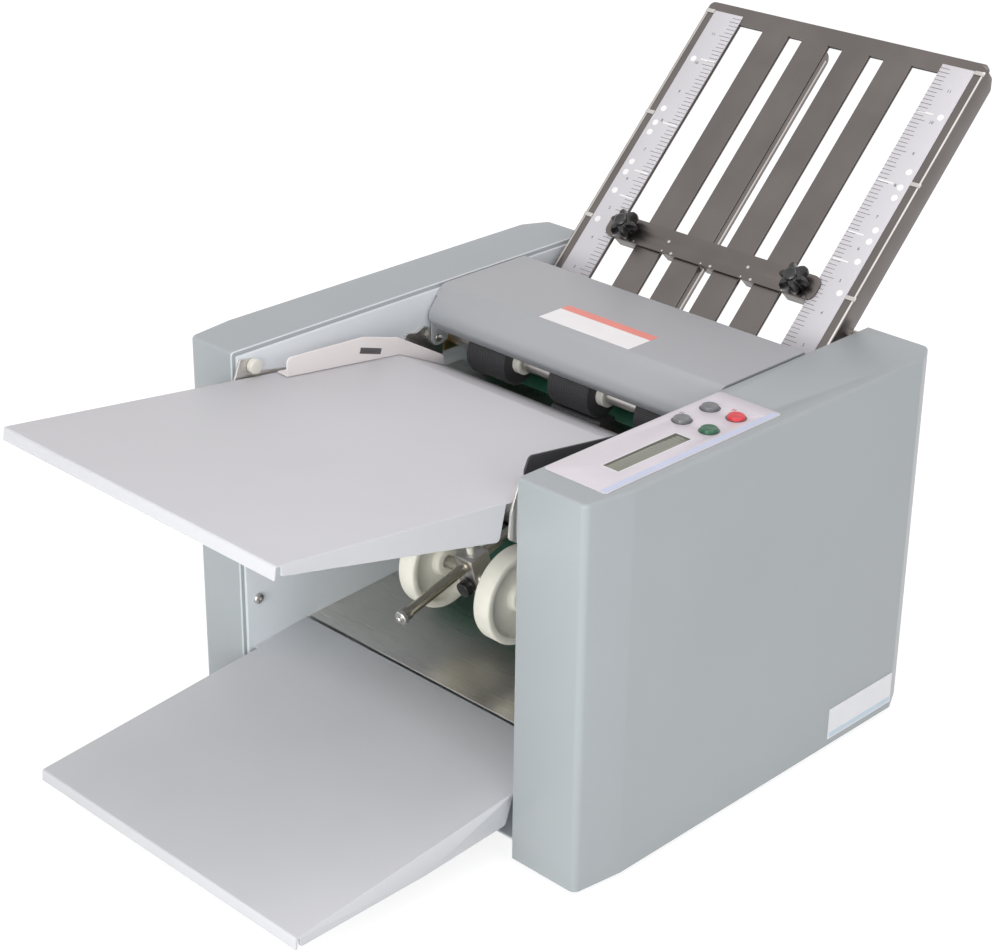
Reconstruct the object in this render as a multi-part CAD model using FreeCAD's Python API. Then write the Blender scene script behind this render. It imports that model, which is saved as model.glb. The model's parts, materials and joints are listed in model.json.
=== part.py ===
import FreeCAD, Part
import math
import os
from FreeCAD import Vector

# Paper folding machine. Millimetres: +X to the control panel side, +Y to the rear, +Z up.
# It is drawn about the middle of the two side covers, and moved once when it is exported.

# Body and covers
body_width = 360.0
cover_height = 260.0
cover_depth = 334.0
right_cover_width = 57.0
left_cover_width = 47.0
cover_sheet = 1.5
cover_bend = 5.0
cover_top_round = 2.5
cover_rim = 10.0
front_cut_back = 36.0
front_cut_in = 5.0
rear_cut_forward = 20.0
rear_cut_in = 10.0
frame_sheet = 2.5
frame_inset = 3.0
foot_height = 6.0
foot_drop = 4.0
foot_radius = 10.0
rest_gap = 0.3
running_gap = 0.06

# Feed table, falling to the rear
table_front = -175.7
table_rise = 5.6
table_fall = 0.126
table_gap_left = 3.5
table_gap_right = 2.5
table_sheet = 1.5
table_lip = 8.5
table_break = 130.0
table_end = 178.0
table_end_fall = 0.47
flange_front_drop = 7.0
flange_rear = -3.9
flange_rear_drop = 24.0

# Output tray, rising to the rear
tray_front = -170.0
tray_top_front = 25.8
tray_rise = 0.0976
tray_skirt = 7.5
tray_skirt_rear = 20.0
tray_end = 55.0

# Rollers and gears
gear_module = 1.5
fold_teeth = 23
feed_teeth = 14
idler_teeth = 12
exit_teeth = 20
gear_width = 8.0
journal_radius = 5.0
fold_roller_y = 232.0
fold_roller_drop = 48.0
feed_y = 195.0
feed_drop = 41.0
feed_roller_radius = 17.0
feed_roller_width = 36.0
feed_roller_pitch = 76.5
exit_upper_y = 165.0
exit_upper_z = 92.0
exit_fall_angle = 55.0

# Fold plates
plate_side_gap = 4.4
plate_foot_y = 250.8
plate_foot_drop = 55.3
plate_tilt = 45.0
plate_length = 293.0
plate_sheet = 1.2
plate_depth = 3.2
plate_wall = 15.5
plate_rim = 8.0
ruler_width = 26.0
ruler_start = 7.0
ruler_sheet = 0.5
slot_start = 13.5
centre_slot = 13.0
inner_slot = 13.0
outer_slot = 22.6
lower_plate_tilt = 110.0
lower_plate_lift = 110.0

# Stacker wheels on their rod
stacker_y = 97.0
stacker_z = 112.0
stacker_wheel_radius = 33.0
stacker_wheel_width = 14.0
stacker_wheel_spread = 70.0
rod_radius = 3.6
rod_angle = 15.5
rod_pivot_y = 150.0
rod_pivot_z = 141.3
rod_tip_y = 26.5

# Places that follow from the sizes above
half_body = body_width / 2
right_rim = half_body - right_cover_width
left_rim = left_cover_width - half_body
right_inner = right_rim - frame_sheet
left_inner = left_rim + frame_sheet
path_x = (right_rim + left_rim) / 2
fold_distance = gear_module * fold_teeth
fold_radius = (fold_distance - rest_gap) / 2
exit_distance = gear_module * exit_teeth
exit_radius = (exit_distance - rest_gap) / 2
fold_roller_z = cover_height - fold_roller_drop
feed_z = cover_height - feed_drop
table_top_front = cover_height + table_rise
table_left = left_inner + table_gap_left
table_right = right_inner - table_gap_right
plate_width = right_inner - left_inner - 2 * plate_side_gap
plate_foot_z = cover_height - plate_foot_drop
lower_plate_length = cover_height - lower_plate_lift

parts = {}


def turned(y, z, angle):
    """A direction in the YZ plane, turned about X."""
    c = math.cos(math.radians(angle))
    s = math.sin(math.radians(angle))
    return (y * c - z * s, y * s + z * c)


def moved(point, direction, distance):
    return (point[0] + direction[0] * distance, point[1] + direction[1] * distance)


def rounded_corner(before, here, after):
    """Start, middle and end of the arc that rounds one corner (a, b, radius)."""
    radius = here[2]
    one = Vector(before[0] - here[0], before[1] - here[1], 0).normalize()
    two = Vector(after[0] - here[0], after[1] - here[1], 0).normalize()
    point = Vector(here[0], here[1], 0)
    half = math.acos(max(-1.0, min(1.0, one.dot(two)))) / 2
    if radius <= 0 or half > math.radians(89.5):
        return (point, point, point)
    cut = radius / math.tan(half)
    inward = (one + two).normalize()
    centre = point + inward * (radius / math.sin(half))
    return (point + one * cut, centre - inward * radius, point + two * cut)


def flat_face(corners, place):
    """A flat face with rounded corners; place turns (a, b) into a point."""
    count = len(corners)
    bends = []
    for i in range(count):
        bends.append(rounded_corner(corners[i - 1], corners[i], corners[(i + 1) % count]))
    edges = []
    for i in range(count):
        start, middle, end = bends[i]
        if (end - start).Length > 1e-6:
            arc = Part.Arc(place(start.x, start.y), place(middle.x, middle.y), place(end.x, end.y))
            edges.append(arc.toShape())
        following = bends[(i + 1) % count][0]
        if (following - end).Length > 1e-6:
            edges.append(Part.makeLine(place(end.x, end.y), place(following.x, following.y)))
    return Part.Face(Part.Wire(edges))


def along_x(corners, x0, x1):
    face = flat_face(corners, lambda a, b: Vector(x0, a, b))
    return face.extrude(Vector(x1 - x0, 0, 0))


def along_y(corners, y0, y1):
    face = flat_face(corners, lambda a, b: Vector(a, y0, b))
    return face.extrude(Vector(0, y1 - y0, 0))


def along_z(corners, z0, z1):
    face = flat_face(corners, lambda a, b: Vector(a, b, z0))
    return face.extrude(Vector(0, 0, z1 - z0))


def box(x0, x1, y0, y1, z0, z1):
    return Part.makeBox(x1 - x0, y1 - y0, z1 - z0, Vector(x0, y0, z0))


def rod_x(y, z, radius, x0, x1):
    return Part.makeCylinder(radius, x1 - x0, Vector(x0, y, z), Vector(1, 0, 0))


def post(x, y, radius, z0, z1):
    return Part.makeCylinder(radius, z1 - z0, Vector(x, y, z0), Vector(0, 0, 1))


def tube_x(y, z, outer, inner, x0, x1):
    return rod_x(y, z, outer, x0, x1).cut(rod_x(y, z, inner, x0 - 1, x1 + 1))


def fused(shapes):
    whole = shapes[0]
    if len(shapes) > 1:
        whole = whole.fuse(shapes[1:])
    return whole.removeSplitter()


def shifted(corners, place):
    """An outline drawn about a point, moved to that point."""
    return [(a + place[0], b + place[1], radius) for a, b, radius in corners]


def square_x(y, z, half, x0, x1):
    return box(x0, x1, y - half, y + half, z - half, z + half)


def group(shapes):
    return Part.makeCompound(shapes)


def inset(corners, distance):
    """The same closed outline, moved inward by a distance."""
    count = len(corners)
    area = 0.0
    for i in range(count):
        a = corners[i - 1]
        b = corners[i]
        area += a[0] * b[1] - b[0] * a[1]
    side = 1 if area > 0 else -1
    result = []
    for i in range(count):
        before = corners[i - 1]
        here = corners[i]
        after = corners[(i + 1) % count]
        one = Vector(here[0] - before[0], here[1] - before[1], 0).normalize()
        two = Vector(after[0] - here[0], after[1] - here[1], 0).normalize()
        n1 = Vector(-one.y, one.x, 0) * side
        n2 = Vector(-two.y, two.x, 0) * side
        step = (n1 + n2) * (distance / (1 + n1.dot(n2)))
        result.append((here[0] + step.x, here[1] + step.y, max(0.0, here[2] - distance)))
    return result


def offset_path(path, distance):
    """An open path of (a, b, radius), moved to its left by a distance."""
    last = len(path) - 1
    result = []
    for i in range(last + 1):
        here = path[i]
        before = path[max(0, i - 1)]
        after = path[min(last, i + 1)]
        one = Vector(here[0] - before[0], here[1] - before[1], 0)
        two = Vector(after[0] - here[0], after[1] - here[1], 0)
        if i == 0:
            one = two
        if i == last:
            two = one
        one = Vector(one).normalize()
        two = Vector(two).normalize()
        n1 = Vector(-one.y, one.x, 0)
        n2 = Vector(-two.y, two.x, 0)
        step = (n1 + n2) * (distance / (1 + n1.dot(n2)))
        turn = one.x * two.y - one.y * two.x
        radius = here[2]
        if radius > 0:
            radius = radius - distance if turn > 0 else radius + distance
        result.append((here[0] + step.x, here[1] + step.y, max(0.0, radius)))
    return result


def strip(path, thickness):
    """The section of a bent sheet: a path and its copy to the left, by a thickness."""
    return list(path) + list(reversed(offset_path(path, thickness)))


def gear(teeth, phase, y, z, x0, bore):
    """A spur gear about X, with the middle of one tooth at the phase angle."""
    pitch = gear_module * teeth / 2
    root = pitch - 1.25 * gear_module
    tip = pitch + 0.8 * gear_module
    step = 360.0 / teeth
    points = []
    for i in range(teeth):
        middle = phase + i * step
        for radius, share in ((root, -0.27), (tip, -0.11), (tip, 0.11), (root, 0.27)):
            a = math.radians(middle + share * step)
            points.append(Vector(x0, y + radius * math.cos(a), z + radius * math.sin(a)))
    points.append(points[0])
    blank = Part.Face(Part.makePolygon(points)).extrude(Vector(gear_width, 0, 0))
    return blank.cut(rod_x(y, z, bore, x0 - 1, x0 + gear_width + 1))


def direction_to(start, end):
    return math.degrees(math.atan2(end[1] - start[1], end[0] - start[0]))


def meshing_phase(first_teeth, first_phase, start, end, second_teeth):
    """The phase of a gear at end, so that its gap meets a tooth of the gear at start."""
    towards = direction_to(start, end)
    step = 360.0 / first_teeth
    lead = (first_phase - towards) % step
    other_step = 360.0 / second_teeth
    return towards + 180.0 - lead * first_teeth / second_teeth + other_step / 2


# ---- Side covers, folded from one sheet, with cut outer corners

def cover_plan(outer_x, rim_x):
    side = 1 if outer_x > rim_x else -1
    return [
        (rim_x, 0, 0),
        (outer_x - side * front_cut_in, 0, cover_bend),
        (outer_x, front_cut_back, 3 * cover_bend),
        (outer_x, cover_depth - rear_cut_forward, cover_bend),
        (outer_x - side * rear_cut_in, cover_depth, cover_bend),
        (rim_x, cover_depth, 0),
    ]


def side_cover(outer_x, rim_x):
    plan = cover_plan(outer_x, rim_x)
    whole = along_z(plan, 0, cover_height)
    top_edges = []
    for edge in whole.Edges:
        box_of_edge = edge.BoundBox
        on_top = box_of_edge.ZMin > cover_height - 0.01
        at_rim = abs(box_of_edge.XMin - rim_x) < 0.01 and abs(box_of_edge.XMax - rim_x) < 0.01
        if on_top and not at_rim:
            top_edges.append(edge)
    whole = whole.makeFillet(cover_top_round, top_edges)
    hollow = along_z(inset(plan, cover_sheet), cover_sheet, cover_height - cover_sheet)
    low_x = min(rim_x, outer_x) - 1
    high_x = max(rim_x, outer_x) + 1
    if outer_x > rim_x:
        high_x = rim_x + 2 * cover_sheet
    else:
        low_x = rim_x - 2 * cover_sheet
    window = box(low_x, high_x, cover_rim, cover_depth - cover_rim, cover_rim, cover_height - cover_rim)
    return whole.cut([hollow, window])


# Control panel on the right cover
panel_left = right_rim + 1.0
panel_right = half_body - 7.5
panel_front = 19.0
panel_rear = 178.0
panel_sheet = 0.5
window_left = right_rim + 23.0
window_right = window_left + 12.0
window_front = 46.0
window_rear = 110.0
button_radius = 5.5
button_gap = 0.3
button_travel = 1.5
button_stand = 1.5
button_flange = 1.2
button_catch = 1.4
button_depth = 6.3
button_places = {
    "button_left": (panel_left + 12.4, panel_rear - 51.0),
    "button_top": (panel_left + 12.5, panel_rear - 25.0),
    "button_start": (panel_left + 33.5, panel_rear - 51.0),
    "button_stop": (panel_left + 33.0, panel_rear - 25.0),
}
panel_top = cover_height + panel_sheet
cover_under = cover_height - cover_sheet
board_top = cover_under - 10.0
board_sheet = 1.6
switch_top = cover_under - button_depth - button_travel - rest_gap

# Power inlet and switch in the right cover's rear wall
inlet_middle_x = right_rim + 26.0
inlet_middle_z = 34.0
inlet_wide = 28.0
inlet_tall = 22.0
inlet_deep = 26.0
inlet_wall = 3.0
inlet_flange = 3.0
inlet_hole_deep = 17.0
switch_middle_z = 74.0
switch_wide = 20.0
switch_tall = 30.0
switch_deep = 20.0
switch_wall = 2.5
rocker_half = 11.8
rocker_tilt = 8.0
rocker_pivot_y = cover_depth - 7.0

right_cover = side_cover(half_body, right_rim)
cuts = [box(window_left, window_right, window_front, window_rear, cover_under - 2, panel_top)]
for place in button_places.values():
    cuts.append(post(place[0], place[1], button_radius + button_gap, cover_under - 2, panel_top))
cuts.append(box(inlet_middle_x - inlet_wide / 2, inlet_middle_x + inlet_wide / 2,
                cover_depth - 5, cover_depth + 5,
                inlet_middle_z - inlet_tall / 2, inlet_middle_z + inlet_tall / 2))
cuts.append(box(inlet_middle_x - switch_wide / 2, inlet_middle_x + switch_wide / 2,
                cover_depth - 5, cover_depth + 5,
                switch_middle_z - switch_tall / 2, switch_middle_z + switch_tall / 2))
parts["right_cover"] = right_cover.cut(cuts)
parts["left_cover"] = side_cover(-half_body, left_rim)

overlay = along_z([
    (panel_left, panel_front, 3),
    (panel_right, panel_front, 3),
    (panel_right, panel_rear, 3),
    (panel_left, panel_rear, 3),
], cover_height, panel_top)
parts["control_overlay"] = overlay.cut(cuts[:5])
parts["lcd_window"] = box(window_left, window_right, window_front, window_rear,
                          cover_under, panel_top)

for name, place in button_places.items():
    cap = post(place[0], place[1], button_radius, cover_under - button_depth, panel_top + button_stand)
    catch = box(place[0] - button_radius - button_catch, place[0] + button_radius + button_catch,
                place[1] - button_catch, place[1] + button_catch,
                cover_under - rest_gap - button_flange, cover_under - rest_gap)
    parts[name] = fused([cap, catch])

board = [box(panel_left + 4, panel_right + 2, panel_front + 4, panel_rear - 4,
             board_top - board_sheet, board_top)]
for x in (panel_left + 8, panel_right - 3):
    for y in (panel_front + 8, panel_rear - 8):
        board.append(box(x - 2.5, x + 2.5, y - 2.5, y + 2.5, board_top, cover_under))
for place in button_places.values():
    board.append(box(place[0] - 3.5, place[0] + 3.5, place[1] - 3.5, place[1] + 3.5,
                     board_top, switch_top))
parts["control_board"] = fused(board)
parts["display_module"] = box(window_left - 4, window_right + 4, window_front - 6, window_rear + 6,
                              board_top, cover_under)

blank_plate_length = 70.0
blank_plate_margin = 21.0
plate_to_y = cover_depth - blank_plate_margin
plate_from_y = plate_to_y - blank_plate_length
plate_from_z = 5.0
plate_to_z = 28.0
plate_thick = 0.5
parts["side_blank_plate"] = box(half_body, half_body + plate_thick,
                                plate_from_y, plate_to_y, plate_from_z, plate_to_z)

inlet_back = cover_depth - inlet_deep
inlet = box(inlet_middle_x - inlet_wide / 2, inlet_middle_x + inlet_wide / 2,
            inlet_back, cover_depth + 1.5,
            inlet_middle_z - inlet_tall / 2, inlet_middle_z + inlet_tall / 2)
flange = box(inlet_middle_x - inlet_wide / 2 - inlet_flange, inlet_middle_x + inlet_wide / 2 + inlet_flange,
             cover_depth, cover_depth + 1.5,
             inlet_middle_z - inlet_tall / 2 - inlet_flange, inlet_middle_z + inlet_tall / 2 + inlet_flange)
mouth = along_y([
    (inlet_middle_x - inlet_wide / 2 + inlet_wall, inlet_middle_z - inlet_tall / 2 + inlet_wall, 1),
    (inlet_middle_x + inlet_wide / 2 - inlet_wall, inlet_middle_z - inlet_tall / 2 + inlet_wall, 1),
    (inlet_middle_x + inlet_wide / 2 - inlet_wall, inlet_middle_z + inlet_tall / 2 - inlet_wall, 4),
    (inlet_middle_x - inlet_wide / 2 + inlet_wall, inlet_middle_z + inlet_tall / 2 - inlet_wall, 4),
], cover_depth + 1.5 - inlet_hole_deep, cover_depth + 3)
pins = []
for dx, dz in ((-7.0, -2.0), (0.0, 3.0), (7.0, -2.0)):
    pins.append(box(inlet_middle_x + dx - 1, inlet_middle_x + dx + 1,
                    cover_depth + 1.5 - inlet_hole_deep, cover_depth - 3,
                    inlet_middle_z + dz - 2, inlet_middle_z + dz + 2))
parts["power_inlet"] = fused([fused([inlet, flange]).cut(mouth)] + pins)

housing = box(inlet_middle_x - switch_wide / 2, inlet_middle_x + switch_wide / 2,
              cover_depth - switch_deep, cover_depth + 1.5,
              switch_middle_z - switch_tall / 2, switch_middle_z + switch_tall / 2)
housing_flange = box(inlet_middle_x - switch_wide / 2 - 2, inlet_middle_x + switch_wide / 2 + 2,
                     cover_depth, cover_depth + 1.5,
                     switch_middle_z - switch_tall / 2 - 2, switch_middle_z + switch_tall / 2 + 2)
cavity = box(inlet_middle_x - switch_wide / 2 + switch_wall, inlet_middle_x + switch_wide / 2 - switch_wall,
             cover_depth - switch_deep + 3, cover_depth + 3,
             switch_middle_z - switch_tall / 2 + switch_wall, switch_middle_z + switch_tall / 2 - switch_wall)
pivot_pin = rod_x(rocker_pivot_y, switch_middle_z, 1.6,
                  inlet_middle_x - switch_wide / 2 + 1, inlet_middle_x + switch_wide / 2 - 1)
parts["switch_housing"] = fused([fused([housing, housing_flange]).cut(cavity), pivot_pin])
rocker_front = cover_depth + 1.2
rocker = along_x([
    (rocker_pivot_y - 4.5, switch_middle_z - 5, 3),
    (rocker_front + 1.3, switch_middle_z - rocker_half + 1.2, 0.8),
    (rocker_front - 0.4, switch_middle_z, 12),
    (rocker_front + 1.3, switch_middle_z + rocker_half - 1.2, 0.8),
    (rocker_pivot_y - 4.5, switch_middle_z + 5, 3),
], inlet_middle_x - switch_wide / 2 + switch_wall + rest_gap,
   inlet_middle_x + switch_wide / 2 - switch_wall - rest_gap)
rocker = rocker.cut(rod_x(rocker_pivot_y, switch_middle_z, 1.6 + running_gap,
                          inlet_middle_x - switch_wide, inlet_middle_x + switch_wide))
rocker.rotate(Vector(0, rocker_pivot_y, switch_middle_z), Vector(1, 0, 0), -rocker_tilt)
parts["rocker_switch"] = rocker


# ---- Roller places, worked out from one fold roller

roller_1 = (fold_roller_y, fold_roller_z)
roller_2 = moved(roller_1, turned(0, -1, 20), fold_distance)
roller_3 = moved(roller_2, turned(1, 0, 20), fold_distance)
roller_4 = moved(roller_2, turned(0, -1, 17.4), fold_distance)
feed_shaft = (feed_y, feed_z)
exit_direction = turned(-1, 0, exit_fall_angle)
exit_upper = (exit_upper_y, exit_upper_z)
exit_lower = moved(exit_upper, (math.sin(math.radians(exit_fall_angle)),
                                -math.cos(math.radians(exit_fall_angle))), exit_distance)
shafts = [roller_1, roller_2, roller_3, roller_4, feed_shaft, exit_upper, exit_lower]

first_reach = gear_module * (fold_teeth + idler_teeth) / 2
second_reach = gear_module * (idler_teeth + feed_teeth) / 2
span = math.hypot(feed_y - fold_roller_y, feed_z - fold_roller_z)
foot_along = (first_reach ** 2 - second_reach ** 2 + span ** 2) / (2 * span)
rise = math.sqrt(first_reach ** 2 - foot_along ** 2)
to_feed = ((feed_y - fold_roller_y) / span, (feed_z - fold_roller_z) / span)
idler = moved(moved(roller_1, to_feed, foot_along), (to_feed[1], -to_feed[0]), rise)

motor_y = 235.0
motor_z = 48.0
motor_radius = 28.0
motor_length = 70.0
motor_boss = 11.5


# ---- Side frames, with holes for the bushes

bush_half = journal_radius + 2.5
bush_lip = 1.5


def side_frame(x0, x1):
    holes = []
    for shaft in shafts:
        holes.append(square_x(shaft[0], shaft[1], bush_half, x0 - 1, x1 + 1))
    if x1 < 0:
        holes.append(rod_x(motor_y, motor_z, motor_boss, x0 - 1, x1 + 1))
    sheet = box(x0, x1, frame_inset, cover_depth - frame_inset, frame_inset, cover_height - frame_inset)
    return sheet.cut(holes)


parts["left_side_frame"] = side_frame(left_rim, left_inner)
parts["right_side_frame"] = side_frame(right_inner, right_rim)

bushes = []
for shaft in shafts:
    for outer_x, inner_x, side in ((left_rim, left_inner, 1), (right_rim, right_inner, -1)):
        sleeve = square_x(shaft[0], shaft[1], bush_half, min(outer_x, inner_x), max(outer_x, inner_x))
        lip_from = min(inner_x, inner_x + side * bush_lip)
        lip = square_x(shaft[0], shaft[1], bush_half + bush_lip, lip_from, lip_from + bush_lip)
        bore = rod_x(shaft[0], shaft[1], journal_radius + running_gap, left_rim - 5, right_rim + 5)
        bushes.append(fused([sleeve, lip]).cut(bore))
parts["shaft_bushes"] = group(bushes)


# ---- Base pan, feet and tie rods

pan_bottom = 2.0
pan_front = 12.0
pan_rear = cover_depth - 12.0
pan_flange = 14.0
pan = along_y(strip([
    (left_inner, pan_bottom + pan_flange, 0),
    (left_inner, pan_bottom, 3),
    (right_inner, pan_bottom, 3),
    (right_inner, pan_bottom + pan_flange, 0),
], cover_sheet), pan_front, pan_rear)
parts["base_pan"] = pan

feet = []
for x in (left_inner + 18, right_inner - 18):
    for y in (pan_front + 20, pan_rear - 20):
        foot = Part.makeCone(foot_radius - 2, foot_radius, foot_height, Vector(x, y, -foot_drop))
        feet.append(foot)
parts["rubber_feet"] = group(feet)

motor_tie_gap = 22.0
tie_places = [
    (cover_depth - 22.0, cover_height - 45.0),
    (140.0, cover_height - 65.0),
    (motor_y + motor_radius + motor_tie_gap, 40.0),
    (62.0, 24.0),
]
ties = []
for y, z in tie_places:
    ties.append(rod_x(y, z, 5.0, left_inner, right_inner))
parts["tie_rods"] = group(ties)


# ---- Feed table

def table_z(y):
    if y <= table_break:
        return table_top_front - table_fall * (y - table_front)
    return table_z(table_break) - table_end_fall * (y - table_break)


table_path = [
    (table_end, table_z(table_end), 0),
    (table_break, table_z(table_break), 14),
    (table_front, table_top_front, 1.5),
    (table_front - 1.2, table_top_front - table_lip, 0),
]
table = along_x(strip(table_path, table_sheet), table_left, table_right)
flange_start = table_front + 4
flange_outline = [
    (flange_start, table_z(flange_start) - 0.4, 0),
    (flange_start, table_z(flange_start) - flange_front_drop, 2),
    (flange_rear - 5.4, table_z(flange_rear) - flange_rear_drop, 3),
    (flange_rear, table_z(flange_rear) - 0.4, 0),
]
skirts = []
for x in (table_left, table_right - table_sheet):
    skirts.append(along_x(flange_outline, x, x + table_sheet))
parts["feed_table"] = fused([table] + skirts)

ledge_rear = 120.0
ledge_width = 12.0
brackets = []
for wall_x, side in ((left_inner, 1), (right_inner, -1)):
    x_wall = (min(wall_x, wall_x + side * 1.5), max(wall_x, wall_x + side * 1.5))
    x_ledge = (min(wall_x, wall_x + side * ledge_width), max(wall_x, wall_x + side * ledge_width))
    start = flange_rear + 8
    ledge = along_x([
        (start, table_z(start) - table_sheet * 1.008, 0),
        (start, table_z(start) - table_sheet - 1.5, 0),
        (ledge_rear, table_z(ledge_rear) - table_sheet - 1.5, 0),
        (ledge_rear, table_z(ledge_rear) - table_sheet * 1.008, 0),
    ], x_ledge[0], x_ledge[1])
    ear = along_x([
        (-4.0, cover_height - 39.5, 3),
        (-2.4, cover_height - 21.5, 20),
        (4.2, cover_height - 4.6, 1.5),
        (15.0, cover_height - 7.0, 0),
        (22.0, table_z(22.0) + 2, 0),
        (ledge_rear, table_z(ledge_rear) - 3, 0),
        (ledge_rear, table_z(ledge_rear) - 18, 0),
        (30.0, cover_height - 47.0, 0),
        (8.0, cover_height - 47.0, 4),
    ], x_wall[0], x_wall[1])
    brackets.append(fused([ledge, ear]))
parts["table_brackets"] = group(brackets)

knob_y = 13.9
knob_z = cover_height - 11.0
knobs = []
for x0, x1 in ((left_inner + 1.5, left_inner + 6.5), (right_inner - 6.5, right_inner - 1.5)):
    knob = rod_x(knob_y, knob_z, 5.0, x0, x1)
    knobs.append(knob)
parts["table_knobs"] = group(knobs)


# ---- Paper guides standing on the table

guide_margin_left = 12.5
guide_margin_right = 13.5
guide_sheet = 1.5
guide_foot = 10.0


def guide(middle_x, side, crest):
    x0 = min(middle_x, middle_x + side * guide_sheet)
    lowest = rest_gap
    wall = []
    for y, drop in crest:
        wall.append((y, cover_height - drop, 4))
    for y in (crest[-1][0], table_break, crest[0][0]):
        wall.append((y, table_z(y) + lowest, 0))
    upright = along_x(wall, x0, x0 + guide_sheet)
    from_y = crest[0][0]
    to_y = table_break - 20
    foot_x = (min(middle_x, middle_x + side * guide_foot), max(middle_x, middle_x + side * guide_foot))
    foot = along_x([
        (from_y, table_z(from_y) + lowest, 0),
        (from_y, table_z(from_y) + lowest + guide_sheet, 0),
        (to_y, table_z(to_y) + lowest + guide_sheet, 0),
        (to_y, table_z(to_y) + lowest, 0),
    ], foot_x[0], foot_x[1])
    return fused([upright, foot])


left_crest = [(31.0, 7.0), (98.0, 11.0), (129.0, 20.0), (172.0, 45.0)]
right_crest = [(23.4, 9.3), (27.3, 1.0), (106.0, 12.5), (129.0, 20.0), (172.0, 45.0)]
parts["left_paper_guide"] = guide(table_left + guide_margin_left, -1, left_crest)
parts["right_paper_guide"] = guide(table_right - guide_margin_right, 1, right_crest)


# ---- Hinged top cover

hinge_y = 179.0
hinge_z = cover_height - 38.0
hinge = (hinge_y, hinge_z)
hinge_pin_radius = 3.0
lid_gap = 0.3
lid_rear = 268.5
lid_left = left_inner + lid_gap
lid_right = right_inner - lid_gap
bracket_sheet = 1.5
ear_gap = 0.3
lid = along_x(strip([
    (lid_rear, cover_height - 9, 0),
    (lid_rear, cover_height, 2.5),
    (hinge_y + 6.0, cover_height, 9),
    (hinge_y - 8.0, hinge_z + 22.0, 9),
    (hinge_y - 8.4, hinge_z + 15.0, 5),
    (hinge_y - 1.0, hinge_z + 7.0, 0),
], cover_sheet), lid_left, lid_right)
lid_ear = [
    (hinge_y - 5.8, hinge_z + 22.0, 0),
    (hinge_y - 6.8, hinge_z - 6.2, 6),
    (hinge_y + 6.2, hinge_z - 4.0, 5),
    (hinge_y + 31.0, cover_under - 8, 0),
    (lid_rear - 2, cover_under - 8, 0),
    (lid_rear - 2, cover_under, 0),
    (hinge_y + 7.0, cover_under, 0),
]
lid_ears = []
ear_places = []
for wall_x, side in ((left_inner, 1), (right_inner, -1)):
    near = wall_x + side * (bracket_sheet + ear_gap)
    far = near + side * cover_sheet
    ear_places.append((wall_x, side, far))
    ear = along_x(lid_ear, min(near, far), max(near, far))
    ear = ear.cut(rod_x(hinge_y, hinge_z, hinge_pin_radius + running_gap, left_rim, right_rim))
    lid_ears.append(ear)
notches = []
for wall_x, side, far in ear_places:
    x = sorted((wall_x - side, wall_x + side * (bracket_sheet + ear_gap)))
    notches.append(box(x[0], x[1], hinge_y - 19, hinge_y + 7, hinge_z - 2, hinge_z + 31))
parts["top_cover"] = fused([lid.cut(notches)] + lid_ears)

bracket_outline = shifted([
    (-34.0, -3.0, 3),
    (-29.5, 11.0, 4),
    (-20.0, 8.5, 6),
    (-12.0, 11.7, 4),
    (-0.5, 5.2, 0),
    (6.0, -1.0, 0),
    (5.5, -13.5, 0),
    (-2.0, -15.5, 0),
    (-13.0, -8.0, 0),
], hinge)
hinge_brackets = []
hinge_pins = []
for wall_x, side, far in ear_places:
    x0 = min(wall_x, wall_x + side * bracket_sheet)
    plate = along_x(bracket_outline, x0, x0 + bracket_sheet)
    plate = plate.cut(rod_x(hinge_y, hinge_z, hinge_pin_radius, left_rim, right_rim))
    hinge_brackets.append(plate)
    end = far + side * rest_gap
    hinge_pins.append(rod_x(hinge_y, hinge_z, hinge_pin_radius, min(wall_x, end), max(wall_x, end)))
parts["hinge_brackets"] = group(hinge_brackets)
parts["hinge_pins"] = group(hinge_pins)


# ---- Feed shaft with its rollers, and the separator under it

gear_x = left_rim - 16.0
shaft_left = gear_x - 2.0
shaft_right = right_rim + 3.0
parts["feed_shaft"] = rod_x(feed_y, feed_z, journal_radius, shaft_left, shaft_right)
feed_hub_radius = 8.0
feed_rollers = []
feed_collars = []
for i in (-1, 0, 1):
    middle = path_x + i * feed_roller_pitch
    x0 = middle - feed_roller_width / 2
    x1 = middle + feed_roller_width / 2
    feed_rollers.append(tube_x(feed_y, feed_z, feed_roller_radius, feed_hub_radius, x0, x1))
    feed_collars.append(tube_x(feed_y, feed_z, feed_hub_radius, journal_radius, x0 - 3.0, x1 + 6.0))
parts["feed_rollers"] = group(feed_rollers)
parts["feed_collars"] = group(feed_collars)

pad_thick = 4.0
bar_top = feed_z - feed_roller_radius - rest_gap - pad_thick
bar_front = 184.0
bar_rear = 206.0
parts["separator_bar"] = along_x(strip([
    (bar_front, bar_top - 8, 0),
    (bar_front, bar_top, 3),
    (bar_rear, bar_top, 3),
    (bar_rear, bar_top - 8, 0),
], -1.5), left_inner, right_inner)
pad = along_x([
    (bar_front + 3, bar_top, 0),
    (bar_rear - 3, bar_top, 0),
    (bar_rear - 3, bar_top + pad_thick, 2),
    (bar_front + 3, bar_top + pad_thick, 2),
], path_x - 22, path_x + 22)
parts["separator_pad"] = pad


# ---- Fold rollers: steel shafts, thick rubber and gears

rubber_left = left_inner + 7.0
rubber_right = right_inner - 7.0
main_phase = 5.0
phase_1 = meshing_phase(fold_teeth, main_phase, roller_2, roller_1, fold_teeth)
phase_3 = meshing_phase(fold_teeth, main_phase, roller_2, roller_3, fold_teeth)
phase_4 = meshing_phase(fold_teeth, main_phase, roller_2, roller_4, fold_teeth)
idler_phase = meshing_phase(fold_teeth, phase_1, roller_1, idler, idler_teeth)
feed_phase = meshing_phase(idler_teeth, idler_phase, idler, feed_shaft, feed_teeth)

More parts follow.
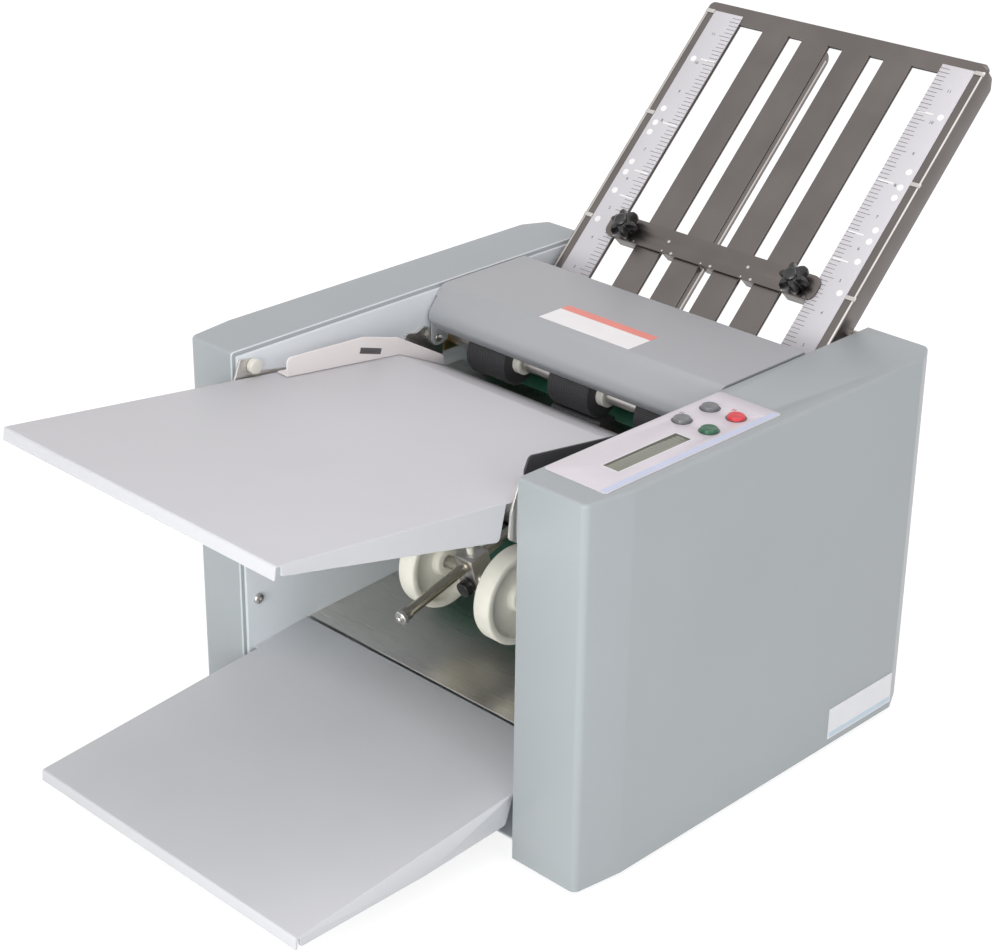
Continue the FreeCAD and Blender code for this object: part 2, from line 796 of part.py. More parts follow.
motor_belt_x = gear_x - 13.0
exit_belt_x = gear_x - 23.0
belt_width = 7.0
pulley_width = belt_width + 1.0
fold_rollers = (roller_1, roller_2, roller_3, roller_4)
phases = (phase_1, main_phase, phase_3, phase_4)
for i in range(4):
    place = fold_rollers[i]
    left_end = shaft_left
    if i == 3:
        left_end = exit_belt_x - 2.0
    name = "fold_roller_%d" % (i + 1)
    parts[name + "_shaft"] = rod_x(place[0], place[1], journal_radius, left_end, shaft_right)
    parts[name + "_rubber"] = tube_x(place[0], place[1], fold_radius, journal_radius,
                                     rubber_left, rubber_right)
    parts[name + "_gear"] = gear(fold_teeth, phases[i], place[0], place[1], gear_x, journal_radius)
parts["feed_gear"] = gear(feed_teeth, feed_phase, feed_y, feed_z, gear_x, journal_radius)
idler_bore = 3.0
parts["idler_gear"] = gear(idler_teeth, idler_phase, idler[0], idler[1], gear_x,
                           idler_bore + running_gap)
pin = rod_x(idler[0], idler[1], idler_bore, gear_x - 1.5, left_rim)
pin_shoulder = rod_x(idler[0], idler[1], 5.0, gear_x + gear_width + rest_gap, left_rim)
parts["idler_pin"] = fused([pin, pin_shoulder])


# ---- Exit rollers

for name, place, left_end in (("exit_roller_upper", exit_upper, shaft_left),
                              ("exit_roller_lower", exit_lower, exit_belt_x - 2.0)):
    parts[name + "_shaft"] = rod_x(place[0], place[1], journal_radius, left_end, shaft_right)
    parts[name + "_rubber"] = tube_x(place[0], place[1], exit_radius, journal_radius,
                                     rubber_left, rubber_right)
exit_phase = 3.0
parts["exit_gear_lower"] = gear(exit_teeth, exit_phase, exit_lower[0], exit_lower[1],
                                gear_x, journal_radius)
parts["exit_gear_upper"] = gear(exit_teeth,
                                meshing_phase(exit_teeth, exit_phase, exit_lower, exit_upper, exit_teeth),
                                exit_upper[0], exit_upper[1], gear_x, journal_radius)


# ---- Motor, pulleys and belts

motor_shaft_radius = 4.0
motor_pulley_radius = 9.0
driven_pulley_radius = 18.0
exit_pulley_radius = 12.0
motor_can = rod_x(motor_y, motor_z, motor_radius, left_inner, left_inner + motor_length)
boss = rod_x(motor_y, motor_z, motor_boss, left_rim, left_inner)
motor_bore = rod_x(motor_y, motor_z, motor_shaft_radius + running_gap, left_rim - 1,
                   left_inner + motor_length / 2)
parts["drive_motor"] = fused([motor_can, boss]).cut(motor_bore)
parts["motor_shaft"] = rod_x(motor_y, motor_z, motor_shaft_radius, motor_belt_x - 1.5,
                             left_inner + motor_length / 2 - 1)


def pulley(place, radius, x0, bore):
    wheel = rod_x(place[0], place[1], radius, x0, x0 + pulley_width)
    wheel = wheel.cut(rod_x(place[0], place[1], bore, x0 - 1, x0 + pulley_width + 1))
    return wheel


motor_place = (motor_y, motor_z)
parts["motor_pulley"] = pulley(motor_place, motor_pulley_radius, motor_belt_x, motor_shaft_radius)
parts["driven_pulley"] = pulley(roller_4, driven_pulley_radius, motor_belt_x, journal_radius)
parts["exit_pulley"] = pulley(roller_4, exit_pulley_radius, exit_belt_x, journal_radius)
parts["exit_lower_pulley"] = pulley(exit_lower, exit_pulley_radius, exit_belt_x, journal_radius)


def belt_edge(first, first_radius, second, second_radius, x0):
    """The outline of a belt round two pulleys."""
    along = direction_to(first, second)
    reach = math.hypot(second[0] - first[0], second[1] - first[1])
    lean = math.degrees(math.acos((first_radius - second_radius) / reach))

    def on(centre, radius, angle):
        a = math.radians(along + angle)
        return Vector(x0, centre[0] + radius * math.cos(a), centre[1] + radius * math.sin(a))

    a1 = on(first, first_radius, lean)
    a2 = on(first, first_radius, 180)
    a3 = on(first, first_radius, -lean)
    b1 = on(second, second_radius, -lean)
    b2 = on(second, second_radius, 0)
    b3 = on(second, second_radius, lean)
    edges = [
        Part.Arc(a1, a2, a3).toShape(),
        Part.makeLine(a3, b1),
        Part.Arc(b1, b2, b3).toShape(),
        Part.makeLine(b3, a1),
    ]
    return Part.Face(Part.Wire(edges))


def belt(first, first_radius, second, second_radius, x0):
    thick = 1.6
    slack = rest_gap
    outer = belt_edge(first, first_radius + slack + thick, second, second_radius + slack + thick, x0)
    inner = belt_edge(first, first_radius + slack, second, second_radius + slack, x0)
    run = Vector(belt_width, 0, 0)
    return outer.extrude(run).cut(inner.extrude(run))


parts["motor_belt"] = belt(motor_place, motor_pulley_radius, roller_4, driven_pulley_radius,
                           motor_belt_x + 0.5)
parts["exit_belt"] = belt(exit_lower, exit_pulley_radius, roller_4, exit_pulley_radius,
                          exit_belt_x + 0.5)


# ---- Chutes that lead the paper down to the tray

nip = ((exit_upper[0] + exit_lower[0]) / 2, (exit_upper[1] + exit_lower[1]) / 2)
chute_end = moved(nip, exit_direction, -18.0)
chute_path = [
    (roller_4[0] - 18.1, roller_4[1] + 12.7, 0),
    (roller_4[0] - 38.1, roller_4[1] + 6.4, 12),
    (chute_end[0], chute_end[1], 0),
]
chute_sheet = 1.2
chute_half = 3.0
parts["inner_chute"] = group([
    along_x(strip(offset_path(chute_path, chute_half), chute_sheet), left_inner, right_inner),
    along_x(strip(offset_path(chute_path, -chute_half), -chute_sheet), left_inner, right_inner),
])


def tray_z(y):
    return tray_top_front + tray_rise * (y - tray_front)


tray_path = [
    (tray_end, tray_z(tray_end), 0),
    (tray_front, tray_z(tray_front), 1.5),
    (tray_front - 0.6, tray_z(tray_front) - tray_skirt, 0),
]
tray = along_x(strip(tray_path, table_sheet), table_left, table_right)
tray_rear_part = along_x([
    (8.0, tray_z(8.0), 0),
    (8.0, tray_z(8.0) - table_sheet, 0),
    (tray_end, tray_z(tray_end) - table_sheet, 0),
    (tray_end, tray_z(tray_end), 0),
], left_inner, right_inner)
tray_flange = [
    (tray_front + 3, tray_z(tray_front + 3) - 0.4, 0),
    (tray_front + 3, tray_z(tray_front + 3) - tray_skirt, 2),
    (-69.0, 18.6, 0),
    (-1.0, tray_z(-1.0) - tray_skirt_rear, 3),
    (6.0, tray_z(6.0) - 0.4, 0),
]
tray_flanges = []
for x in (table_left, table_right - table_sheet):
    tray_flanges.append(along_x(tray_flange, x, x + table_sheet))
parts["output_tray"] = fused([tray, tray_rear_part] + tray_flanges)
parts["delivery_chute"] = along_x(strip([
    (exit_lower[0] - 15.6, exit_lower[1] - 6.8, 0),
    (exit_lower[0] - 29.6, exit_lower[1] - 21.8, 14),
    (tray_end + 3, tray_z(tray_end + 3), 0),
], chute_sheet), left_inner, right_inner)


# ---- Fold plates: two slotted sheets with the paper gap between them

rail_inner = plate_width / 2 - plate_rim - ruler_width
sheet_half = plate_width / 2 - plate_rim
slot_bar = (rail_inner - centre_slot / 2 - inner_slot - outer_slot) / 2
slot_edges = [centre_slot / 2]
for step in (slot_bar, inner_slot, slot_bar, outer_slot):
    slot_edges.append(slot_edges[-1] + step)
slot_tail = 32.0
finger_gap = 2.5
wall_tail = 45.0


def slots(length):
    low = -(length - slot_tail)
    high = -slot_start
    spans = [(-slot_edges[0], slot_edges[0])]
    for near, far in ((slot_edges[1], slot_edges[2]), (slot_edges[3], slot_edges[4])):
        spans.append((near, far))
        spans.append((-far, -near))
    cuts_through = []
    for u0, u1 in spans:
        cuts_through.append(box(u0, u1, low, high, -plate_depth - 1, 1))
    return cuts_through


def plate_pair(length, half):
    """Top sheet and base with folded rims, flat: X across, Y away from the mouth, Z outward."""
    openings = slots(length)
    top = box(-sheet_half, sheet_half, -length, 0, -plate_sheet, 0).cut(openings)
    corner = 4.0
    base_sheet = along_z([
        (-half, -length, 0),
        (half, -length, 0),
        (half, 0, corner),
        (-half, 0, corner),
    ], -plate_depth, 0)
    gap = box(-sheet_half, sheet_half, -length - 1, 1, plate_sheet - plate_depth, 1)
    base_sheet = base_sheet.cut([gap] + openings)
    pieces = [base_sheet]
    wall = [
        (-corner, -0.2, 0),
        (-corner, 6 - plate_wall, 2),
        (-corner - 6, -plate_wall, 3),
        (wall_tail - length, -plate_wall, 5),
        (wall_tail - length - 8, -plate_depth, 2),
        (wall_tail - length - 8, -0.2, 0),
    ]
    for x in (-half, half - table_sheet):
        pieces.append(along_x(wall, x, x + table_sheet))
    stiffener = along_x([
        (-17.0, 1 - plate_depth, 0),
        (-17.0, -plate_depth - 7, 6),
        (slot_tail - length, -plate_depth - 7, 3),
        (slot_tail - length, 1 - plate_depth, 0),
    ], -slot_edges[0] - 1.5, -slot_edges[0])
    pieces.append(stiffener)
    return top, fused(pieces)


def stand(shape, tilt, corner):
    """Turns a flat plate piece up by its tilt and sets it with its far end at the corner."""
    result = shape.copy()
    result.rotate(Vector(0, 0, 0), Vector(1, 0, 0), tilt)
    result.translate(Vector(path_x, corner[0], corner[1]))
    return result


upper_corner = moved((plate_foot_y, plate_foot_z), turned(1, 0, plate_tilt), plate_length)
upper_top, upper_base = plate_pair(plate_length, plate_width / 2)
parts["upper_plate_sheet"] = stand(upper_top, plate_tilt, upper_corner)
parts["upper_plate_frame"] = stand(upper_base, plate_tilt, upper_corner)
rulers = []
tabs = []
tab_pitch = 90.0
for side in (-1, 1):
    u = sorted((side * rail_inner, side * sheet_half))
    rulers.append(box(u[0], u[1], -(plate_length - 8), -ruler_start, 0, ruler_sheet))
    t = sorted((side * (sheet_half + 0.3), side * plate_width / 2))
    for k in range(3):
        at = -8.0 - k * tab_pitch
        tabs.append(box(t[0], t[1], at - 1.5, at + 1.5, 0, 0.8))
parts["upper_plate_rulers"] = stand(group(rulers), plate_tilt, upper_corner)
parts["upper_plate_tabs"] = stand(group(tabs), plate_tilt, upper_corner)

lower_tilt = lower_plate_tilt - 180.0
lower_down = turned(1, 0, lower_tilt)
lower_out = (-lower_down[1], lower_down[0])
lower_nip = moved(roller_2, turned(1, 0, 20), fold_distance / 2)
lower_corner = moved(moved(lower_nip, lower_down, 24.0 + lower_plate_length), lower_out, plate_depth)
lower_half = (right_inner - left_inner) / 2
lower_top, lower_base = plate_pair(lower_plate_length, lower_half)
parts["lower_plate_sheet"] = stand(lower_top, lower_tilt, lower_corner)
parts["lower_plate_frame"] = stand(lower_base, lower_tilt, lower_corner)

# Studs on the side frames carry the upper fold plate by the edges of its walls
stud_radius = 4.0
studs = []
for from_foot in (88.0, 55.0):
    middle = Part.Vertex(Vector(0, from_foot - plate_length, -plate_wall - stud_radius))
    seat = stand(middle, plate_tilt, upper_corner)
    studs.append(rod_x(seat.Y, seat.Z, stud_radius, left_inner, left_inner + 9))
    studs.append(rod_x(seat.Y, seat.Z, stud_radius, right_inner - 9, right_inner))
parts["plate_studs"] = group(studs)


# ---- Stop bars with their clamping knobs

stop_sheet = 1.5
stop_wide = 18.5
knob_stem = 2.5
knob_height = 12.0
knob_lobes = 6
knob_lobe_radius = 3.8
knob_tip = 21.0
knob_valley = 9.0
knob_u = (slot_edges[3] + slot_edges[4]) / 2
stop_left = -(knob_u + 19.2)
stop_right = knob_u + 16.2
nut_sheet = 2.0
nut_half = (slot_edges[4] - slot_edges[3]) / 2 + 3.6


def stop_bar(v, lift):
    """A flat bar across the plate with one finger bent down through every slot."""
    low = -v - stop_wide / 2
    bar = along_z([
        (stop_left, low, 7),
        (stop_right, low, 7),
        (stop_right, low + stop_wide, 7),
        (stop_left, low + stop_wide, 7),
    ], lift, lift + stop_sheet)
    pieces = [bar]
    middles = [(0.0, centre_slot)]
    for near, far in ((1, 2), (3, 4)):
        middle = (slot_edges[near] + slot_edges[far]) / 2
        wide = slot_edges[far] - slot_edges[near]
        middles.append((middle, wide))
        middles.append((-middle, wide))
    for middle, wide in middles:
        half = wide / 2 - finger_gap
        pieces.append(box(middle - half, middle + half, low, low + stop_sheet, -9.0, lift + stop_sheet))
    holes = []
    for u in (-knob_u, knob_u):
        holes.append(post(u, -v, knob_stem + running_gap, -20, 20))
    nuts = []
    for u in (-knob_u, knob_u):
        nut = box(u - nut_half, u + nut_half, -v - 6, -v + 6,
                  -plate_depth - rest_gap - nut_sheet, -plate_depth - rest_gap)
        nuts.append(nut.cut(holes))
    return fused(pieces).cut(holes), group(nuts)


def star_knob(u, v, seat):
    """A lobed knob standing on the bar, with its stem down through the slot."""
    star = []
    for k in range(knob_lobes):
        for part_turn, reach, radius in ((0.0, knob_tip, knob_lobe_radius), (0.5, knob_valley, 0)):
            a = 2 * math.pi * (k + 0.5 + part_turn) / knob_lobes
            star.append((u + reach * math.cos(a), -v + reach * math.sin(a), radius))
    grip = along_z(star, seat, seat + knob_height)
    stem = post(u, -v, knob_stem, -plate_depth - 5, seat)
    return fused([grip, stem])


upper_stop_v = 190.0
lower_stop_v = 75.0
for name, v, lift, tilt, corner in (
        ("upper", upper_stop_v, ruler_sheet + rest_gap, plate_tilt, upper_corner),
        ("lower", lower_stop_v, rest_gap, lower_tilt, lower_corner)):
    bar, nuts = stop_bar(v, lift)
    parts[name + "_stop_bar"] = stand(bar, tilt, corner)
    parts[name + "_stop_nuts"] = stand(nuts, tilt, corner)
    for word, u in (("left", -knob_u), ("right", knob_u)):
        knob = star_knob(u, v, lift + stop_sheet)
        parts[name + "_knob_" + word] = stand(knob, tilt, corner)


# ---- Stacker: a hinged rod with a block, an axle and two wheels

rod_along = turned(1, 0, rod_angle)
rod_reach = (rod_pivot_y - rod_tip_y) / rod_along[0]
eye_half = 4.5
eye_radius = 7.0
arm_pin_radius = 3.0


def on_rod(shape, distance):
    """Lays a shape drawn along X-rod coordinates on the rod, at a distance from the pivot."""
    result = shape.copy()
    result.rotate(Vector(0, 0, 0), Vector(1, 0, 0), rod_angle)
    at = moved((rod_pivot_y, rod_pivot_z), rod_along, -distance)
    result.translate(Vector(path_x, at[0], at[1]))
    return result


def rod_piece(radius, start, length):
    return Part.makeCylinder(radius, length, Vector(0, start, 0), Vector(0, 1, 0))


rod = fused([rod_piece(rod_radius, 0, rod_reach - 3), rod_piece(rod_radius + 0.7, 0, 8)])
rod = on_rod(rod, rod_reach)
eye = rod_x(rod_pivot_y, rod_pivot_z, eye_radius, path_x - eye_half, path_x + eye_half)
pin_bore = rod_x(rod_pivot_y, rod_pivot_z, arm_pin_radius + running_gap, left_rim, right_rim)
parts["stacker_rod"] = fused([rod, eye]).cut(pin_bore)

cheek_sheet = 2.0
cheek_near = eye_half + rest_gap
rod_pivot = (rod_pivot_y, rod_pivot_z)
cheek_outline = shifted([
    (-17.0, -11.3, 3),
    (-17.0, -0.3, 3),
    (-6.0, 9.7, 6),
    (10.0, 15.7, 0),
    (18.0, 15.7, 0),
    (18.0, 6.7, 0),
    (9.0, -7.3, 0),
    (-4.0, -11.8, 0),
], rod_pivot)
pieces = [box(left_inner, right_inner, rod_pivot_y + 10, rod_pivot_y + 18,
              rod_pivot_z + 6.7, rod_pivot_z + 15.7)]
for side in (-1, 1):
    near = path_x + side * cheek_near
    far = near + side * cheek_sheet
    pieces.append(along_x(cheek_outline, min(near, far), max(near, far)))
rod_under = rod_pivot_z - 13 * math.tan(math.radians(rod_angle)) - rod_radius / rod_along[0]
pieces.append(box(path_x - cheek_near, path_x + cheek_near, rod_pivot_y - 15, rod_pivot_y - 11,
                  rod_pivot_z - 10.8, rod_under - rest_gap - 0.4))
parts["stacker_bracket"] = fused(pieces).cut(
    rod_x(rod_pivot_y, rod_pivot_z, arm_pin_radius, path_x - 20, path_x + 20))
parts["stacker_pin"] = rod_x(rod_pivot_y, rod_pivot_z, arm_pin_radius,
                             path_x - cheek_near - cheek_sheet - 2, path_x + cheek_near + cheek_sheet + 2)

block_half = 8.0
block_up = 7.0
block_down = 21.0
block_reach = (rod_pivot_y - stacker_y + 5.0) / rod_along[0]
block = along_x([
    (-block_half, -block_down, 3),
    (block_half, -block_down, 3),
    (block_half, block_up, 0),
    (-block_half, block_up, 0),
], -block_half, block_half)
block = block.cut(rod_piece(rod_radius + running_gap, -20, 40))
screw_drop = -15.5
block = block.cut(Part.makeCylinder(2.0 + running_gap, 3,
                                    Vector(0, -block_half, screw_drop), Vector(0, 1, 0)))
axle_radius = 4.0
block = on_rod(block, block_reach)
block = block.cut(rod_x(stacker_y, stacker_z, axle_radius + running_gap, path_x - 20, path_x + 20))
parts["stacker_block"] = block
peg = Part.makeCylinder(2.6, 5, Vector(0, 0, block_up), Vector(0, 0, 1))
parts["stacker_peg"] = on_rod(peg, block_reach)
grip = Part.makeCylinder(5.5, 6, Vector(0, -block_half - rest_gap - 6, screw_drop), Vector(0, 1, 0))
shank = Part.makeCylinder(2.0, 3.1, Vector(0, -block_half - rest_gap - 0.1, screw_drop), Vector(0, 1, 0))
parts["stacker_thumb_screw"] = on_rod(fused([grip, shank]), block_reach)

half_spread = stacker_wheel_spread / 2
wheel_half = stacker_wheel_width / 2
axle_end = half_spread + wheel_half
collar_wide = 2.5
axle_pieces = [rod_x(stacker_y, stacker_z, axle_radius,
                     path_x - axle_end - collar_wide, path_x + axle_end + collar_wide)]
for low in (block_half + rest_gap, -block_half - rest_gap - collar_wide):
    axle_pieces.append(rod_x(stacker_y, stacker_z, 6.5, path_x + low, path_x + low + collar_wide))
parts["stacker_axle"] = fused(axle_pieces)


def stacker_wheel(middle):
    """A plastic wheel: hub, thin web and broad tread, turned about the axle."""
    hub = 10.0
    web_half = 2.0
    rim = stacker_wheel_radius - 5.5
    bore = axle_radius
    section = [
        (-wheel_half, bore, 0),
        (wheel_half, bore, 0),
        (wheel_half, hub, 0),
        (web_half, hub, 0),
        (web_half, rim, 0),
        (wheel_half, rim, 0),
        (wheel_half, stacker_wheel_radius, 0),
        (-wheel_half, stacker_wheel_radius, 0),
        (-wheel_half, rim, 0),
        (-web_half, rim, 0),
        (-web_half, hub, 0),
        (-wheel_half, hub, 0),
    ]
    face = flat_face(section, lambda a, b: Vector(a, b, 0))
    wheel = face.revolve(Vector(0, 0, 0), Vector(1, 0, 0), 360)
    wheel.translate(Vector(middle, stacker_y, stacker_z))
    return wheel


parts["stacker_wheel_left"] = stacker_wheel(path_x - half_spread)
parts["stacker_wheel_right"] = stacker_wheel(path_x + half_spread)


# ---- Power supply on the right frame

supply_front = 205.0
supply_margin = 39.0
supply_wide = 34.0
supply_bottom = 12.0
supply_tall = 76.0
fin_start = 10.0
fin_pitch = 11.0
fin_thick = 3.0
supply_rear = cover_depth - supply_margin
supply_side = right_rim + supply_wide
supply = box(right_rim, supply_side, supply_front, supply_rear,
             supply_bottom, supply_bottom + supply_tall)
ribs = []
for k in range(6):
    z = supply_bottom + fin_start + k * fin_pitch
    ribs.append(box(supply_side, supply_side + fin_thick, supply_front + 5, supply_rear - 5,
                    z, z + fin_thick))
parts["power_supply"] = fused([supply] + ribs)


# ---- Pieces of one kind that stay together share a file

together = {
    "frame_rods": ("tie_rods", "plate_studs", "idler_pin", "hinge_pins", "stacker_pin"),
    "frame_brackets": ("table_brackets", "hinge_brackets"),
    "cross_bars": ("separator_bar", "stacker_bracket"),
    "paper_chutes": ("inner_chute", "delivery_chute"),
    "drive_belts": ("motor_belt", "exit_belt"),
    "electronics": ("control_board", "display_module", "power_supply"),
    "inlet_and_switch": ("power_inlet", "switch_housing"),
    "upper_fold_plate": ("upper_plate_sheet", "upper_plate_frame"),
    "lower_fold_plate": ("lower_plate_sheet", "lower_plate_frame"),
    "ruler_strips": ("upper_plate_rulers", "upper_plate_tabs"),
    "upper_stop_bar": ("upper_stop_bar", "upper_stop_nuts"),
    "lower_stop_bar": ("lower_stop_bar", "lower_stop_nuts"),
    "feed_shaft": ("feed_shaft", "feed_gear"),
    "fold_roller_1_shaft": ("fold_roller_1_shaft", "fold_roller_1_gear"),
    "fold_roller_2_shaft": ("fold_roller_2_shaft", "fold_roller_2_gear"),
    "fold_roller_3_shaft": ("fold_roller_3_shaft", "fold_roller_3_gear"),
    "fold_roller_4_shaft": ("fold_roller_4_shaft", "fold_roller_4_gear", "driven_pulley", "exit_pulley"),
    "exit_roller_upper": ("exit_roller_upper_rubber", "exit_roller_upper_shaft", "exit_gear_upper"),
    "exit_roller_lower": ("exit_roller_lower_rubber", "exit_roller_lower_shaft", "exit_gear_lower",
                          "exit_lower_pulley"),
    "motor_shaft": ("motor_shaft", "motor_pulley"),
    "stacker_block": ("stacker_block", "stacker_peg"),
    "stacker_wheels": ("stacker_wheel_left", "stacker_wheel_right"),
}
for node, members in together.items():
    solids = []
    for member in members:
        solids.extend(parts.pop(member).Solids)
    parts[node] = group(solids)


# ---- Set the origin under the middle of the machine and write every piece

whole = group(list(parts.values())).optimalBoundingBox(False)
shift = Vector(-(whole.XMin + whole.XMax) / 2, -(whole.YMin + whole.YMax) / 2, -whole.ZMin)
os.makedirs("parts", exist_ok=True)
for name, shape in parts.items():
    placed = shape.copy()
    placed.translate(shift)
    placed.exportStep("parts/" + name + ".step")
print("parts", len(parts), "size", whole.XLength, whole.YLength, whole.ZLength)
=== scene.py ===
import json
import math
import bmesh
import bpy
from mathutils import Matrix, Vector


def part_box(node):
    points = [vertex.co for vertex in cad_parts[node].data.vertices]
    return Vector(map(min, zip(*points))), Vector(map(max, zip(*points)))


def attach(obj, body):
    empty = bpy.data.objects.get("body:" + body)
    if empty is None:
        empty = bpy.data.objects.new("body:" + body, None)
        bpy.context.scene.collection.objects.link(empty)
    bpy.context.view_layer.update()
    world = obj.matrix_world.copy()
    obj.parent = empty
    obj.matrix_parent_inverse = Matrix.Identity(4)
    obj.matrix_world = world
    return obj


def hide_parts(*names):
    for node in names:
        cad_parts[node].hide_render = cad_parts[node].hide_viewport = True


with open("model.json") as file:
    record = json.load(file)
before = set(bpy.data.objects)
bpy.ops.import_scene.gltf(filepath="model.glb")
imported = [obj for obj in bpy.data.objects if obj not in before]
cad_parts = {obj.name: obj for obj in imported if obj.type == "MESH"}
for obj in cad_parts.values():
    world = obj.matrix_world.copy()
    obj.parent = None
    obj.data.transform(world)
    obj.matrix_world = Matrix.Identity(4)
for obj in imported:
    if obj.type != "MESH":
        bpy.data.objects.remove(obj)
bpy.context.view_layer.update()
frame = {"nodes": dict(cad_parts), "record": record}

record = frame["record"]
bodyOfNode = {}
for bodyName, members in record["behaviour"]["bodies"].items():
    for member in members:
        bodyOfNode[member] = bodyName
print("frame loaded:", len(bodyOfNode), "nodes")

# Camera: the machine seen from its front right corner, a little above
cameraPlace = {"position": (0.92955, -0.98389, 0.82090), "target": (-0.04565, 0.01521, 0.15530),
               "roll": 0.729, "lens": 81.96, "sensor": 36.0, "farthest": 20.0}


def makeCamera(place):
    position = Vector(place["position"])
    forward = (Vector(place["target"]) - position).normalized()
    side = forward.cross(Vector((0, 0, 1))).normalized()
    down = forward.cross(side)
    roll = math.radians(place["roll"])
    right = side * math.cos(roll) - down * math.sin(roll)
    lower = side * math.sin(roll) + down * math.cos(roll)
    matrix = Matrix((right, -lower, -forward)).transposed().to_4x4()
    matrix.translation = position
    data = bpy.data.cameras.new("camera")
    data.lens = place["lens"]
    data.sensor_width = place["sensor"]
    data.sensor_fit = "HORIZONTAL"
    data.clip_end = place["farthest"]
    camera = bpy.data.objects.new("camera", data)
    camera.matrix_world = matrix
    bpy.context.scene.collection.objects.link(camera)
    bpy.context.scene.camera = camera


makeCamera(cameraPlace)
print("camera placed")


# Procedural materials: how each family of finishes varies. Drift is the slow change over a piece, height is
# the grain's in metres, and smoother and rougher are how far the roughness swings
driftRamp = {"darker": 0.3, "lighter": 0.7}
paintSkin = {"drift": 9.0, "detail": 2.0, "spread": 0.025, "height": 0.0004,
             "smoother": 0.05, "rougher": 0.06}
steelSkin = {"drift": 26.0, "detail": 2.0, "lineDetail": 4.0, "height": 0.0002,
             "smoother": 0.08, "rougher": 0.12}
plasticSkin = {"drift": 60.0, "detail": 2.0, "height": 0.0002, "coatRoughness": 0.2}
evenly = (1, 1, 1)


def newMaterial(name, color, metallic, roughness):
    material = bpy.data.materials.new(name)
    material.use_nodes = True
    nodes = material.node_tree.nodes
    shader = nodes.get("Principled BSDF")
    shader.inputs["Base Color"].default_value = (*color, 1.0)
    shader.inputs["Metallic"].default_value = metallic
    shader.inputs["Roughness"].default_value = roughness
    return material, nodes, material.node_tree.links, shader


def noiseFrom(nodes, links, scale, stretch, detail):
    coordinates = nodes.new("ShaderNodeTexCoord")
    mapping = nodes.new("ShaderNodeMapping")
    mapping.inputs["Scale"].default_value = stretch
    links.new(coordinates.outputs["Object"], mapping.inputs["Vector"])
    noise = nodes.new("ShaderNodeTexNoise")
    noise.inputs["Scale"].default_value = scale
    noise.inputs["Detail"].default_value = detail
    links.new(mapping.outputs["Vector"], noise.inputs["Vector"])
    return noise


def varyColor(nodes, links, shader, noise, color, spread):
    ramp = nodes.new("ShaderNodeValToRGB")
    darker, lighter = ramp.color_ramp.elements
    darker.position = driftRamp["darker"]
    lighter.position = driftRamp["lighter"]
    darker.color = (*[v * (1 - spread) for v in color], 1.0)
    lighter.color = (*[min(1.0, v * (1 + spread)) for v in color], 1.0)
    links.new(noise.outputs["Fac"], ramp.inputs["Fac"])
    links.new(ramp.outputs["Color"], shader.inputs["Base Color"])


def varyRoughness(nodes, links, shader, noise, low, high):
    spread = nodes.new("ShaderNodeMapRange")
    spread.inputs["To Min"].default_value = low
    spread.inputs["To Max"].default_value = high
    links.new(noise.outputs["Fac"], spread.inputs["Value"])
    links.new(spread.outputs["Result"], shader.inputs["Roughness"])


def addBump(nodes, links, shader, noise, strength, distance):
    bump = nodes.new("ShaderNodeBump")
    bump.inputs["Strength"].default_value = strength
    bump.inputs["Distance"].default_value = distance
    links.new(noise.outputs["Fac"], bump.inputs["Height"])
    links.new(bump.outputs["Normal"], shader.inputs["Normal"])


def paint(name, color, roughness, grain=1400.0, depth=0.12):
    material, nodes, links, shader = newMaterial(name, color, 0.0, roughness)
    peel = noiseFrom(nodes, links, grain, evenly, paintSkin["detail"])
    drift = noiseFrom(nodes, links, paintSkin["drift"], evenly, paintSkin["detail"])
    varyColor(nodes, links, shader, drift, color, paintSkin["spread"])
    varyRoughness(nodes, links, shader, drift, roughness - paintSkin["smoother"],
                  roughness + paintSkin["rougher"])
    addBump(nodes, links, shader, peel, depth, paintSkin["height"])
    return material


def steel(name, color, roughness, stretch, grain=420.0, depth=0.08, spread=0.08):
    material, nodes, links, shader = newMaterial(name, color, 1.0, roughness)
    lines = noiseFrom(nodes, links, grain, stretch, steelSkin["lineDetail"])
    drift = noiseFrom(nodes, links, steelSkin["drift"], evenly, steelSkin["detail"])
    varyColor(nodes, links, shader, drift, color, spread)
    varyRoughness(nodes, links, shader, lines, roughness - steelSkin["smoother"],
                  roughness + steelSkin["rougher"])
    addBump(nodes, links, shader, lines, depth, steelSkin["height"])
    return material


def plastic(name, color, roughness, grain=900.0, depth=0.08, spread=0.05, coat=0.0):
    material, nodes, links, shader = newMaterial(name, color, 0.0, roughness)
    skin = noiseFrom(nodes, links, grain, evenly, plasticSkin["detail"])
    drift = noiseFrom(nodes, links, plasticSkin["drift"], evenly, plasticSkin["detail"])
    varyColor(nodes, links, shader, drift, color, spread)
    addBump(nodes, links, shader, skin, depth, plasticSkin["height"])
    if coat > 0:
        shader.inputs["Coat Weight"].default_value = coat
        shader.inputs["Coat Roughness"].default_value = plasticSkin["coatRoughness"]
    return material


